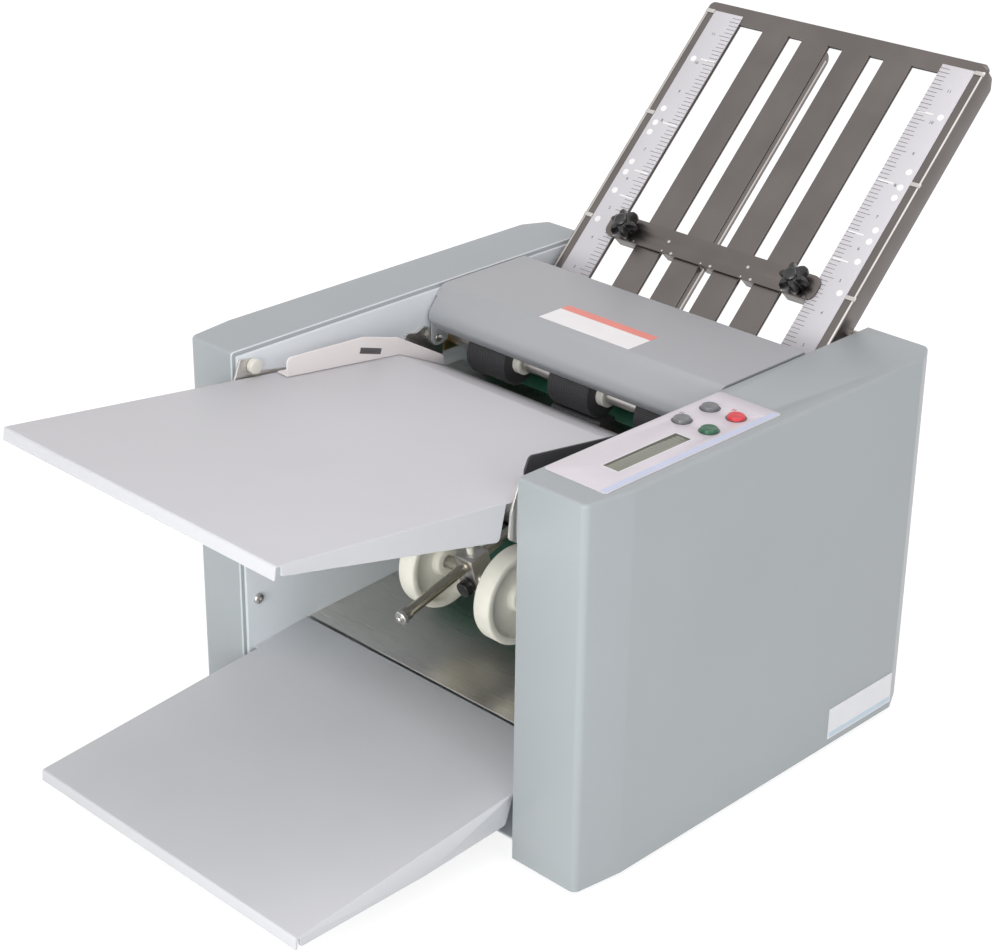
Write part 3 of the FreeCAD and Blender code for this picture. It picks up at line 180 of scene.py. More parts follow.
paints = {
    "coverPaint": {"color": (0.36, 0.395, 0.405), "roughness": 0.38},
    # lighter paint for the covers' eased edges, a painted highlight
    "coverEdge": {"color": (0.64, 0.68, 0.70), "roughness": 0.32},
    "lidPaint": {"color": (0.37, 0.385, 0.40), "roughness": 0.38},
    "framePaint": {"color": (0.66, 0.70, 0.73), "roughness": 0.40},
    "tablePaint": {"color": (0.585, 0.595, 0.615), "roughness": 0.42},
    "rulerMetal": {"color": (0.60, 0.595, 0.62), "roughness": 0.38, "grain": 1800.0, "depth": 0.01},
    # the left guide's pink tint is a painted reflection of paper on its pale colour
    "paleGuide": {"color": (0.80, 0.76, 0.75), "roughness": 0.40},
    # the right guide is the same part as the left, darkened to near black as painted shade
    "darkGuide": {"color": (0.030, 0.030, 0.034), "roughness": 0.45},
    "motorMetal": {"color": (0.035, 0.035, 0.038), "roughness": 0.40},
}
steels = {  # a small stretch draws the brushed lines out along that axis
    "brightSteel": {"color": (0.62, 0.60, 0.57), "roughness": 0.28, "stretch": (0.010, 1, 1),
                    "grain": 1500.0, "depth": 0.04, "spread": 0.05},
    "rodSteel": {"color": (0.46, 0.43, 0.36), "roughness": 0.22, "stretch": (1, 0.05, 1)},
    "darkSteel": {"color": (0.178, 0.160, 0.152), "roughness": 0.31, "stretch": (1, 0.06, 0.06),
                  "depth": 0.015},
    "barSteel": {"color": (0.162, 0.145, 0.137), "roughness": 0.33, "stretch": (0.06, 1, 1),
                 "depth": 0.015},
    # brighter steels for the painted highlights on the fold plate's folds, the lit one on the right
    "foldBright": {"color": (0.86, 0.83, 0.80), "roughness": 0.24, "stretch": (1, 0.06, 0.06)},
    "foldSteel": {"color": (0.56, 0.53, 0.50), "roughness": 0.30, "stretch": (1, 0.06, 0.06)},
    "bushBrass": {"color": (0.62, 0.44, 0.20), "roughness": 0.30, "stretch": evenly},
}
panelSkin = {"roughness": 0.40, "grain": 1600.0, "depth": 0.04, "spread": 0.02, "coat": 0.2}
filmSkin = {"grain": 1600.0, "depth": 0.03}
displaySkin = {"roughness": 0.22, "grain": 300.0, "depth": 0.02, "spread": 0.04, "coat": 0.6}
inkSkin = {"depth": 0.02, "spread": 0.02}
buttonSkin = {"roughness": 0.35, "coat": 0.4}
plastics = {
    "greenRubber": {"color": (0.010, 0.085, 0.050), "roughness": 0.55, "grain": 700.0, "depth": 0.2},
    "blackRubber": {"color": (0.044, 0.043, 0.046), "roughness": 0.60, "grain": 700.0, "depth": 0.25},
    "beltRubber": {"color": (0.02, 0.02, 0.02), "roughness": 0.65},
    "blackPlastic": {"color": (0.008, 0.0075, 0.008), "roughness": 0.38, "coat": 0.15},
    "whitePlastic": {"color": (0.70, 0.69, 0.62), "roughness": 0.45},
    "creamPlastic": {"color": (0.84, 0.825, 0.72), "roughness": 0.50, "grain": 500.0, "depth": 0.12},
    "knobPlastic": {"color": (0.010, 0.010, 0.011), "roughness": 0.30, "grain": 700.0, "depth": 0.03,
                    "spread": 0.02, "coat": 0.3},
    "panelFilm": {"color": (0.66, 0.63, 0.67), **panelSkin},
    "panelStripe": {"color": (0.55, 0.61, 0.77), **panelSkin},
    # pale film for the rim round the display, and for the painted highlights along the panel's front and
    # outer edges
    "panelEdge": {"color": (0.69, 0.69, 0.72), **panelSkin},
    "blankFilm": {"color": (0.74, 0.75, 0.77), "roughness": 0.40, "spread": 0.02, "coat": 0.2, **filmSkin},
    "blueFilm": {"color": (0.50, 0.62, 0.70), "roughness": 0.40, "spread": 0.02, "coat": 0.2, **filmSkin},
    "coralFilm": {"color": (0.78, 0.25, 0.20), "roughness": 0.45, "spread": 0.03, "coat": 0.1, **filmSkin},
    "displayGlass": {"color": (0.175, 0.178, 0.130), **displaySkin},
    "displayCell": {"color": (0.145, 0.148, 0.106), **displaySkin},
    "displayShade": {"color": (0.075, 0.078, 0.055), "roughness": 0.5, **inkSkin},
    "darkInk": {"color": (0.025, 0.025, 0.03), "roughness": 0.55, **inkSkin},
    "whiteInk": {"color": (0.86, 0.86, 0.86), "roughness": 0.50, **inkSkin},
    "board": {"color": (0.02, 0.12, 0.05), "roughness": 0.5},
    # dark grey that paints the shade in gaps and hollows, round the buttons and in the guide's slot
    "buttonRing": {"color": (0.10, 0.10, 0.105), "roughness": 0.4, "coat": 0.2},
    "greyButton": {"color": (0.15, 0.155, 0.165), **buttonSkin},
    "greenButton": {"color": (0.005, 0.105, 0.042), **buttonSkin},
    "redButton": {"color": (0.66, 0.030, 0.045), **buttonSkin},
}
looks = {}
for makeLook, finishes in ((paint, paints), (steel, steels), (plastic, plastics)):
    for name, finish in finishes.items():
        looks[name] = makeLook(name, **finish)
print("materials made:", len(looks))

# Easing: weld is in metres, and flat, sharp and crease are angles in degrees
easing = {"weld": 2e-6, "flat": 0.8, "sharp": 28, "crease": 26, "segments": 2, "roundness": 0.5}


def softened(mesh, angle):
    for face in mesh.polygons:
        face.use_smooth = True
    mesh.set_sharp_from_angle(angle=math.radians(angle))


def looseParts(mesh):
    leader = list(range(len(mesh.vertices)))

    def find(i):
        while leader[i] != i:
            leader[i] = leader[leader[i]]
            i = leader[i]
        return i

    for edge in mesh.edges:
        first = find(edge.vertices[0])
        second = find(edge.vertices[1])
        if first != second:
            leader[second] = first
    boxes = {}
    for vertex in mesh.vertices:
        key = find(vertex.index)
        low, high = boxes.get(key, (Vector(vertex.co), Vector(vertex.co)))
        for axis in range(3):
            low[axis] = min(low[axis], vertex.co[axis])
            high[axis] = max(high[axis], vertex.co[axis])
        boxes[key] = (low, high)
    return [find(face.vertices[0]) for face in mesh.polygons], boxes


def eased(node, settings):
    source = frame["nodes"][node]
    mesh = source.data.copy()
    mesh.materials.clear()
    work = bmesh.new()
    work.from_mesh(mesh)
    bmesh.ops.remove_doubles(work, verts=work.verts, dist=easing["weld"])
    bmesh.ops.dissolve_limit(work, angle_limit=math.radians(easing["flat"]), verts=work.verts,
                             edges=work.edges)
    if settings["edge"] > 0:
        sharp = []
        for edge in work.edges:
            if len(edge.link_faces) == 2 and edge.calc_face_angle(0.0) > math.radians(easing["sharp"]):
                sharp.append(edge)
        bmesh.ops.bevel(work, geom=sharp, offset=settings["edge"], offset_type="OFFSET",
                        segments=easing["segments"], profile=easing["roundness"], affect="EDGES",
                        clamp_overlap=True, material=1 if "rim" in settings else -1)
    # A bevel may push a corner of thin sheet outwards, so the corners keep to the box of the construction
    corners = [vertex.co for vertex in source.data.vertices]
    low = [min(corner[axis] for corner in corners) for axis in range(3)]
    high = [max(corner[axis] for corner in corners) for axis in range(3)]
    for vertex in work.verts:
        vertex.co = [min(max(vertex.co[axis], low[axis]), high[axis]) for axis in range(3)]
    bmesh.ops.triangulate(work, faces=work.faces)
    work.to_mesh(mesh)
    work.free()
    softened(mesh, easing["crease"])
    names = [settings["look"]] + [look for look, fits in settings.get("also", ())]
    if "rim" in settings:
        names.append(settings["rim"])
    for name in names:
        mesh.materials.append(looks[name])
    if "also" in settings:
        owners, boxes = looseParts(mesh)
        for face, owner in zip(mesh.polygons, owners):
            low, high = boxes[owner]
            for index, (look, fits) in enumerate(settings["also"]):
                if fits(high - low):
                    face.material_index = index + 1
                    break
    piece = bpy.data.objects.new(node + "_dressed", mesh)
    bpy.context.scene.collection.objects.link(piece)
    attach(piece, bodyOfNode[node])
    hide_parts(node)


# Each steel part of an exit roller is thinner or shorter than its rubber
rollerRubber = {"across": 0.0295, "long": 0.05}


def rollerSteel(size):
    return size.y < rollerRubber["across"] or size.x < rollerRubber["long"]


# Construction pieces: edge is the width of the eased edge in metres, rim its look, a lighter paint that is a
# painted highlight along the covers' eased edges, and also gives the looks of loose parts that are told apart
# by their size
pieces = {
    "right_cover": {"look": "coverPaint", "edge": 0.0009, "rim": "coverEdge"},
    "left_cover": {"look": "coverPaint", "edge": 0.0009, "rim": "coverEdge"},
    "top_cover": {"look": "lidPaint", "edge": 0.0004},
    "left_side_frame": {"look": "framePaint", "edge": 0.0005},
    "right_side_frame": {"look": "framePaint", "edge": 0.0005},
    "base_pan": {"look": "framePaint", "edge": 0.0003},
    "feed_table": {"look": "tablePaint", "edge": 0.0005},
    "output_tray": {"look": "tablePaint", "edge": 0.0005},
    "frame_brackets": {"look": "brightSteel", "edge": 0.0003},
    "frame_rods": {"look": "brightSteel", "edge": 0.0005},
    "cross_bars": {"look": "brightSteel", "edge": 0.0003},
    "paper_chutes": {"look": "brightSteel", "edge": 0.0002},
    "shaft_bushes": {"look": "bushBrass", "edge": 0.0003},
    "upper_fold_plate": {"look": "darkSteel", "edge": 0.00025},
    "lower_fold_plate": {"look": "darkSteel", "edge": 0.00025},
    "upper_stop_bar": {"look": "barSteel", "edge": 0.0003},
    "lower_stop_bar": {"look": "barSteel", "edge": 0.0003},
    "ruler_strips": {"look": "rulerMetal", "edge": 0.0001,
                     "also": (("brightSteel", lambda size: size.x < 0.012),)},
    "feed_shaft": {"look": "brightSteel", "edge": 0.0003},
    "feed_collars": {"look": "whitePlastic", "edge": 0.0004},
    "idler_gear": {"look": "whitePlastic", "edge": 0.0},
    "exit_roller_upper": {"look": "greenRubber", "edge": 0.0004, "also": (("brightSteel", rollerSteel),)},
    "exit_roller_lower": {"look": "greenRubber", "edge": 0.0004, "also": (("brightSteel", rollerSteel),)},
    "motor_shaft": {"look": "brightSteel", "edge": 0.0003},
    "drive_motor": {"look": "motorMetal", "edge": 0.0025},
    "drive_belts": {"look": "beltRubber", "edge": 0.0002},
    "separator_pad": {"look": "blackRubber", "edge": 0.0004},
    "rubber_feet": {"look": "blackRubber", "edge": 0.0006},
    "left_paper_guide": {"look": "paleGuide", "edge": 0.0004},
    "right_paper_guide": {"look": "darkGuide", "edge": 0.0004},
    "stacker_rod": {"look": "rodSteel", "edge": 0.0006},
    "stacker_block": {"look": "brightSteel", "edge": 0.0005,
                      "also": (("whitePlastic", lambda size: size.x < 0.008),)},
    "stacker_thumb_screw": {"look": "blackPlastic", "edge": 0.0005},
    "stacker_axle": {"look": "brightSteel", "edge": 0.0004},
    "stacker_wheels": {"look": "creamPlastic", "edge": 0.0013},
    "table_knobs": {"look": "whitePlastic", "edge": 0.0008},
    "control_overlay": {"look": "panelFilm", "edge": 0.0001},
    "lcd_window": {"look": "displayGlass", "edge": 0.0001},
    "electronics": {"look": "board", "edge": 0.0003,
                    "also": (("motorMetal", lambda size: size.x > 0.030 and size.z > 0.05),
                             ("blackPlastic", lambda size: size.x < 0.025))},
    "inlet_and_switch": {"look": "blackPlastic", "edge": 0.0003},
    "rocker_switch": {"look": "blackPlastic", "edge": 0.0005},
    "button_left": {"look": "greyButton", "edge": 0.0007},
    "button_top": {"look": "greyButton", "edge": 0.0007},
    "button_start": {"look": "greenButton", "edge": 0.0007},
    "button_stop": {"look": "redButton", "edge": 0.0007},
}
for number in range(1, 5):
    pieces["fold_roller_%d_shaft" % number] = {"look": "brightSteel", "edge": 0.0}
    pieces["fold_roller_%d_rubber" % number] = {"look": "greenRubber", "edge": 0.0004}
for node, settings in pieces.items():
    eased(node, settings)
print("construction pieces dressed:", len(pieces))


# Tools for the fine details that sit on the construction pieces
shoulder = {"height": 0.6, "radius": 0.95}  # where a disc's rounded shoulder begins, and its top


def newPiece(name, work, look, body, crease=0):
    mesh = bpy.data.meshes.new(name)
    work.to_mesh(mesh)
    work.free()
    mesh.materials.append(looks[look])
    if crease > 0:  # rounded shading up to this angle
        softened(mesh, crease)
    piece = bpy.data.objects.new(name, mesh)
    bpy.context.scene.collection.objects.link(piece)
    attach(piece, body)
    return piece


def addBlock(work, low, high, place=None):
    made = bmesh.ops.create_cube(work, size=1.0)
    size = Vector(high) - Vector(low)
    middle = (Vector(high) + Vector(low)) / 2
    matrix = Matrix.Translation(middle) @ Matrix.Diagonal((*size, 1.0))
    bmesh.ops.transform(work, matrix=matrix, verts=made["verts"])
    if place is not None:
        bmesh.ops.transform(work, matrix=place, verts=made["verts"])


def addFilm(work, left, right, front, rear, bottom, thick):
    addBlock(work, (left, front, bottom), (right, rear, bottom + thick))


def joinRings(work, rings):
    for lower, upper in zip(rings, rings[1:]):
        for k in range(len(lower)):
            following = (k + 1) % len(lower)
            work.faces.new((lower[k], lower[following], upper[following], upper[k]))


def closeEnds(work, rings):
    work.faces.new(rings[-1])
    work.faces.new(list(reversed(rings[0])))


def addTurned(work, profile, place, sides, closed=True):
    rings = []
    for radius, height in profile:
        ring = []
        for k in range(sides):
            turn = 2 * math.pi * k / sides
            point = place @ Vector((radius * math.cos(turn), radius * math.sin(turn), height))
            ring.append(work.verts.new(point))
        rings.append(ring)
    if closed:
        joinRings(work, rings)
        closeEnds(work, rings)
    else:
        joinRings(work, rings + rings[:1])


def shouldered(radius, height):
    return ((radius, 0.0), (radius, height * shoulder["height"]), (radius * shoulder["radius"], height))


def addRivet(work, spot, radius, height, place, sides):
    addTurned(work, shouldered(radius, height), place @ Matrix.Translation(spot), sides)


# Feed rollers: rubber with fine ribs along its length
ribs = {"count": 76, "depth": 0.00045, "slant": 0.25, "bevel": 0.0006,
        "width": 0.0360, "pitch": 0.0765, "bore": 0.0080}
rollerLow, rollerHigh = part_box("feed_rollers")
rollerMiddle = (rollerLow + rollerHigh) / 2
rollerRadius = (rollerHigh.z - rollerLow.z) / 2


def addRibbedRing(work, x, radius, bevel, depth):
    ring = []
    steps = ribs["count"] * 4  # two points on each rib and two in each groove
    for k in range(steps):
        turn = 2 * math.pi * (k + (ribs["slant"] if k % 2 else -ribs["slant"])) / steps
        reach = radius - (depth if k % 4 in (2, 3) else 0.0) - bevel
        point = (x, rollerMiddle.y + reach * math.cos(turn), rollerMiddle.z + reach * math.sin(turn))
        ring.append(work.verts.new(point))
    return ring


ribbed = bmesh.new()
for roller in (-1, 0, 1):
    left = rollerMiddle.x + roller * ribs["pitch"] - ribs["width"] / 2
    right = left + ribs["width"]
    rings = [addRibbedRing(ribbed, left, rollerRadius, ribs["bevel"], ribs["depth"]),
             addRibbedRing(ribbed, left + ribs["bevel"], rollerRadius, 0.0, ribs["depth"]),
             addRibbedRing(ribbed, right - ribs["bevel"], rollerRadius, 0.0, ribs["depth"]),
             addRibbedRing(ribbed, right, rollerRadius, ribs["bevel"], ribs["depth"]),
             addRibbedRing(ribbed, right, ribs["bore"], 0.0, 0.0),
             addRibbedRing(ribbed, left, ribs["bore"], 0.0, 0.0)]
    joinRings(ribbed, rings + rings[:1])
bmesh.ops.recalc_face_normals(ribbed, faces=ribbed.faces)
rollers = newPiece("feed_rollers_ribbed", ribbed, "blackRubber", "feed")
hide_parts("feed_rollers")

# Pan head screws that hold the covers to the side frames: places as y and z, profile as radius and height
screw = {"places": ((-0.1298, 0.0823), (0.1625, 0.1340)), "sides": 24, "crease": 32,
         "profile": ((0.0040, 0.0), (0.0040, 0.0009), (0.00344, 0.0018), (0.0022, 0.0024),
                     (0.0015, 0.0024), (0.0015, 0.0008))}
leftFace = Matrix(((0, 0, 1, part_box("left_side_frame")[1].x), (1, 0, 0, 0), (0, 1, 0, 0), (0, 0, 0, 1)))
rightFace = Matrix(((0, 0, -1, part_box("right_side_frame")[0].x), (0, 1, 0, 0), (1, 0, 0, 0), (0, 0, 0, 1)))
heads = bmesh.new()
for y, z in screw["places"]:
    addTurned(heads, screw["profile"], leftFace @ Matrix.Translation((y, z, 0)), screw["sides"])
for y, z in screw["places"]:
    addTurned(heads, screw["profile"], rightFace @ Matrix.Translation((z, y, 0)), screw["sides"])
newPiece("frame_screw_heads", heads, "brightSteel", "machine", screw["crease"])
print("feed rollers ribbed and screw heads made")

# Axes on each fold plate: u across it from its middle, v down it from its top edge, lift out of its face
plateTilts = {"upper": {"y": 0.315496, "tilt": 45}, "lower": {"z": 0.0270684, "tilt": -70}}
plateLow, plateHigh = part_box("upper_fold_plate")
plateMiddle = (plateLow.x + plateHigh.x) / 2
upperCorner = Matrix.Translation((plateMiddle, plateTilts["upper"]["y"], plateHigh.z))
lowerCorner = Matrix.Translation((plateMiddle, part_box("lower_fold_plate")[1].y, plateTilts["lower"]["z"]))
onPlate = upperCorner @ Matrix.Rotation(math.radians(plateTilts["upper"]["tilt"]), 4, "X")
onLowerPlate = lowerCorner @ Matrix.Rotation(math.radians(plateTilts["lower"]["tilt"]), 4, "X")

# Rulers: ticks at the eighths of an inch, longer at the half and the whole inch, with plain numbers
rulers = {"inner": 0.0871, "top": 0.0070, "length": 0.2780, "margin": 0.002, "lift": 0.0005, "ink": 0.00006,
          "inch": 0.0254, "firstInch": 0.0260, "ticksAbove": 5, "tick": 0.00030,
          "reach": {"eighth": 0.0076, "half": 0.0088, "inch": 0.0104},
          "numbers": 11, "numberSize": 0.0034, "numberColumn": 0.1030, "numberCurve": 3}


def addStroke(work, side, near, far, v, wide):
    ends = sorted((side * near, side * far))
    addBlock(work, (ends[0], -v - wide / 2, rulers["lift"]),
             (ends[1], -v + wide / 2, rulers["lift"] + rulers["ink"]), onPlate)


def addNumber(work, text, middle, size, place):
    curve = bpy.data.curves.new("number", "FONT")
    curve.body = text
    curve.size = size
    curve.align_x = "CENTER"
    curve.align_y = "CENTER"
    curve.extrude = rulers["ink"] / 2
    curve.resolution_u = rulers["numberCurve"]
    holder = bpy.data.objects.new("number", curve)
    mesh = bpy.data.meshes.new_from_object(holder)
    mesh.transform(place @ Matrix.Translation(middle))
    work.from_mesh(mesh)
    bpy.data.objects.remove(holder)
    bpy.data.meshes.remove(mesh)


ticks = bmesh.new()
step = rulers["inch"] / 8
highest = rulers["top"] + rulers["margin"]
lowest = rulers["top"] + rulers["length"] - rulers["margin"]
count = int((rulers["length"] - 2 * rulers["margin"]) / step)
for side in (-1, 1):
    for eighth in range(-rulers["ticksAbove"], count - rulers["ticksAbove"]):
        v = rulers["firstInch"] + eighth * step
        if v < highest or v > lowest:
            continue
        reach = rulers["reach"]["eighth"]
        if eighth % 4 == 0:
            reach = rulers["reach"]["half"]
        if eighth % 8 == 0:
            reach = rulers["reach"]["inch"]
        addStroke(ticks, side, rulers["inner"], rulers["inner"] + reach, v, rulers["tick"])
for side in (-1, 1):
    for k in range(rulers["numbers"]):
        spot = (side * rulers["numberColumn"], -(rulers["firstInch"] + k * rulers["inch"]),
                rulers["lift"] + rulers["ink"] / 2)
        addNumber(ticks, str(rulers["numbers"] - k), spot, rulers["numberSize"], onPlate)
newPiece("ruler_marks", ticks, "darkInk", "machine")

# White dots and dashes between the ruler's numbers, a little lower on the left than on the right
dots = {"v": (0.0460, 0.0902, 0.1025, 0.1108, 0.1368, 0.1458, 0.1618, 0.1866), "column": 0.1075,
        "radius": 0.0024, "sides": 28, "left": 0.0026, "right": 0.0002}
dashes = {"v": (0.0450, 0.1010, 0.1425, 0.1640), "near": 0.0015, "far": 0.0140, "wide": 0.0010}
white = bmesh.new()
for side, drop in ((-1, dots["left"]), (1, dots["right"])):
    for v in dots["v"]:
        addRivet(white, (side * dots["column"], -v - drop, rulers["lift"]), dots["radius"], rulers["ink"],
                 onPlate, dots["sides"])
    for v in dashes["v"]:
        addStroke(white, side, rulers["inner"] + dashes["near"], rulers["inner"] + dashes["far"], v + drop,
                  dashes["wide"])
newPiece("ruler_dots", white, "whiteInk", "machine")
print("rulers marked")

# Rivets of the stop bar, and small bright discs where its fingers are bent, which are painted highlights on
# the bends
stopBars = {"upper": {"v": 0.190, "lift": 0.0023, "axes": onPlate},
            "lower": {"v": 0.075, "lift": 0.0018, "axes": onLowerPlate}}
rivets = {"u": (-0.038, 0.033), "radius": 0.0012, "height": 0.0004, "sides": 20}
# feet are these painted highlights, a pair beside each finger, the right one of each pair larger
feet = {"fingers": ((0.0, 0.004), (-0.0355, 0.004), (0.0355, 0.004), (-0.0758, 0.0088), (0.0758, 0.0088)),
        "gap": 0.0002, "below": 0.00785, "leftRadius": 0.0007, "rightRadius": 0.0011, "height": 0.0002,
        "sides": 14}
bar = stopBars["upper"]
rivetsAndBendHighlights = bmesh.new()
for u in rivets["u"]:
    addRivet(rivetsAndBendHighlights, (u, -bar["v"], bar["lift"]), rivets["radius"], rivets["height"], onPlate, rivets["sides"])
for u, half in feet["fingers"]:
    for side, radius in ((-1, feet["leftRadius"]), (1, feet["rightRadius"])):
        spot = (u + side * (half + feet["gap"]), -bar["v"] - feet["below"], bar["lift"])
        addRivet(rivetsAndBendHighlights, spot, radius, feet["height"], onPlate, feet["sides"])
newPiece("stop_bar_rivets_and_highlights", rivetsAndBendHighlights, "brightSteel", "upper_stop")

# Star knobs with rounded lobes, a neck, a domed hub and the stem through the slot. Each row is a height with
# its share of the lobes' reach, and the hub's rows are heights and radii
starKnob = {"lobes": 6, "reach": 0.0113, "valley": 0.0066, "neck": 0.0048, "neckTop": 0.0019,
            "stem": 0.0025, "stemLength": 0.0082, "u": 0.0758, "sides": 96, "crease": 40,
            "rows": ((0.0022, 0.80), (0.0036, 0.95), (0.0070, 1.0), (0.0104, 0.95), (0.0122, 0.80)),
            "hub": ((0.0126, 0.0050), (0.0140, 0.0047), (0.0146, 0.0038), (0.0142, 0.0022),
                    (0.0140, 0.0010))}


def starRadius(turn):
    lobe = 0.5 + 0.5 * math.cos(starKnob["lobes"] * turn)
    return starKnob["valley"] + (starKnob["reach"] - starKnob["valley"]) * lobe


def addStarKnob(work, place, stemEnd):
    sides = starKnob["sides"]
    turns = [2 * math.pi * (k + 0.5) / sides for k in range(sides)]
    rows = [(-stemEnd, [starKnob["stem"]] * sides), (0.0, [starKnob["stem"]] * sides)]
    rows += [(0.0, [starKnob["neck"]] * sides), (starKnob["neckTop"], [starKnob["neck"]] * sides)]
    rows += [(height, [scale * starRadius(turn) for turn in turns]) for height, scale in starKnob["rows"]]
    rows += [(height, [radius] * sides) for height, radius in starKnob["hub"]]
    rings = []
    for height, radii in rows:
        ring = []
        for turn, radius in zip(turns, radii):
            point = place @ Vector((radius * math.cos(turn), radius * math.sin(turn), height))
            ring.append(work.verts.new(point))
        rings.append(ring)
    joinRings(work, rings)
    closeEnds(work, rings)


for level, bar in stopBars.items():
    for word, letter, side in (("left", "l", -1), ("right", "r", 1)):
        node = "%s_knob_%s" % (level, word)
        star = bmesh.new()
        seat = bar["axes"] @ Matrix.Translation((side * starKnob["u"], -bar["v"], bar["lift"]))
        addStarKnob(star, seat, bar["lift"] + starKnob["stemLength"])
        knob = newPiece(node + "_star", star, "knobPlastic", "%s_knob_%s" % (level, letter),
                        starKnob["crease"])
        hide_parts(node)
print("star knobs made")

# Painted highlights on the folds: bright strips along the edges of the plate's outer rails and on the inner
# face of its middle stiffener, brighter on the right rail than on the left
foldHighlights = {"u": 0.1197, "wide": 0.0014, "rise": 0.00022, "sunk": 0.0001, "from": 0.006, "to": 0.262,
         "looks": {"left": "foldSteel", "right": "foldBright"}}
stiffener = {"u": -0.0065, "from": 0.022, "to": 0.258, "shallow": 0.0058, "deep": 0.0076, "thick": 0.00008}
for word, side in (("left", -1), ("right", 1)):
    railEdge = bmesh.new()
    u = side * foldHighlights["u"]
    addBlock(railEdge, (u - foldHighlights["wide"] / 2, -foldHighlights["to"], -foldHighlights["sunk"]),
             (u + foldHighlights["wide"] / 2, -foldHighlights["from"], foldHighlights["rise"]), onPlate)
    newPiece("plate_fold_highlight_" + word, railEdge, foldHighlights["looks"][word], "machine")
innerFace = bmesh.new()
addBlock(innerFace, (stiffener["u"], -stiffener["to"], -stiffener["deep"]),
         (stiffener["u"] + stiffener["thick"], -stiffener["from"], -stiffener["shallow"]), onPlate)
newPiece("stiffener_fold_highlight", innerFace, "foldSteel", "machine")

# The stepped tip of the stacker rod
rodTip = {"place": (-0.00525, -0.11599, 0.11105), "angle": 105.5, "sides": 36, "crease": 32,
          "profile": ((0.0040, -0.0034), (0.0049, -0.0030), (0.0049, -0.0007), (0.0044, 0.0),
                      (0.0023, 0.0002), (0.0023, 0.0015), (0.0018, 0.0021))}
tip = bmesh.new()
onTip = Matrix.Translation(rodTip["place"]) @ Matrix.Rotation(math.radians(rodTip["angle"]), 4, "X")
addTurned(tip, rodTip["profile"], onTip, rodTip["sides"])
newPiece("rod_tip", tip, "brightSteel", "stacker_arm", rodTip["crease"])

# The long slot in the left guide, a dark block that is painted shade in its hollow, and the strip that shows
# through it as shares of the slot's own size
guideSlot = {"y": -0.0390, "z": 0.2416, "fall": -17.2, "half": 0.0098, "deep": 0.0021, "sunk": 0.0001,
             "proud": 0.00012}
slotStrip = {"front": 0.86, "rear": 0.55, "bottom": 0.75, "top": 0.25, "proud": 1.8}
onGuide = (Matrix.Translation((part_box("left_paper_guide")[1].x, guideSlot["y"], guideSlot["z"]))
           @ Matrix.Rotation(math.radians(guideSlot["fall"]), 4, "X"))
slotMesh = bmesh.new()
addBlock(slotMesh, (-guideSlot["sunk"], -guideSlot["half"], -guideSlot["deep"]),
         (guideSlot["proud"], guideSlot["half"], guideSlot["deep"]), onGuide)
newPiece("guide_slot", slotMesh, "buttonRing", "left_guide")
strip = bmesh.new()
addBlock(strip, (-guideSlot["sunk"], -guideSlot["half"] * slotStrip["front"],
                 -guideSlot["deep"] * slotStrip["bottom"]),
         (guideSlot["proud"] * slotStrip["proud"], guideSlot["half"] * slotStrip["rear"],
          guideSlot["deep"] * slotStrip["top"]), onGuide)
newPiece("guide_slot_strip", strip, "barSteel", "left_guide")
print("folds, rod tip and guide slot made")

# Control panel: stripe by its outer edge, rim round the display, and thin pale lines at its front and outer
# edges, which are painted highlights on the panel's edges
panel = {"ink": 0.00008, "stripe": 0.0046, "stripeGap": 0.0008, "stripeFront": 0.0012, "stripeRear": 0.0020,
         "rim": 0.0014, "lineEnd": 0.0030, "frontHighlight": 0.0008, "outerHighlight": 0.0007}
panelLow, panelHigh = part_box("control_overlay")
windowLow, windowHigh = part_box("lcd_window")
top = panelHigh.z
stripe = bmesh.new()
stripeRight = panelHigh.x - panel["stripeGap"]
addFilm(stripe, stripeRight - panel["stripe"], stripeRight, panelLow.y + panel["stripeFront"],
        panelHigh.y - panel["stripeRear"], top, panel["ink"])
newPiece("panel_stripe", stripe, "panelStripe", "machine")
rimLeft = windowLow.x - panel["rim"]
rimRight = windowHigh.x + panel["rim"]
rimFront = windowLow.y - panel["rim"]
rimRear = windowHigh.y + panel["rim"]
rim = bmesh.new()
for left, right, front, rear in (
        (rimLeft, windowLow.x, rimFront, rimRear),
        (windowHigh.x, rimRight, rimFront, rimRear),
        (windowLow.x, windowHigh.x, rimFront, windowLow.y),
        (windowLow.x, windowHigh.x, windowHigh.y, rimRear),
        (panelLow.x + panel["lineEnd"], panelHigh.x - panel["lineEnd"], panelLow.y,
         panelLow.y + panel["frontHighlight"]),
        (panelHigh.x - panel["outerHighlight"], panelHigh.x, panelLow.y + panel["lineEnd"],
         panelHigh.y - panel["lineEnd"])):
    addFilm(rim, left, right, front, rear, top, panel["ink"])
newPiece("panel_rim", rim, "panelEdge", "machine")

# Buttons: a dark ring on the panel round each, painted shade in the gap round the button, and a dished cap on
# it
buttons = {"looks": {"button_left": "greyButton", "button_top": "greyButton", "button_start": "greenButton",
                     "button_stop": "redButton"},
           "outerRing": 0.0067, "innerRing": 0.0056, "ringSides": 28, "capSides": 40, "crease": 60,
           "dish": ((0.0053, -0.0002), (0.0053, 0.0003), (0.0049, 0.0007), (0.0041, 0.0008),
                    (0.0030, 0.0004), (0.0010, 0.0002))}
ringProfile = (*shouldered(buttons["outerRing"], panel["ink"]), (buttons["innerRing"], panel["ink"]),
               (buttons["innerRing"], 0.0))
buttonRings = bmesh.new()
for node, look in buttons["looks"].items():
    low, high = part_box(node)
    middle = (low + high) / 2
    onRing = Matrix.Translation((middle.x, middle.y, top))
    addTurned(buttonRings, ringProfile, onRing, buttons["ringSides"], closed=False)
    cap = bmesh.new()
    addTurned(cap, buttons["dish"], Matrix.Translation((middle.x, middle.y, high.z)), buttons["capSides"])
    newPiece(node + "_cap", cap, look, node, buttons["crease"])
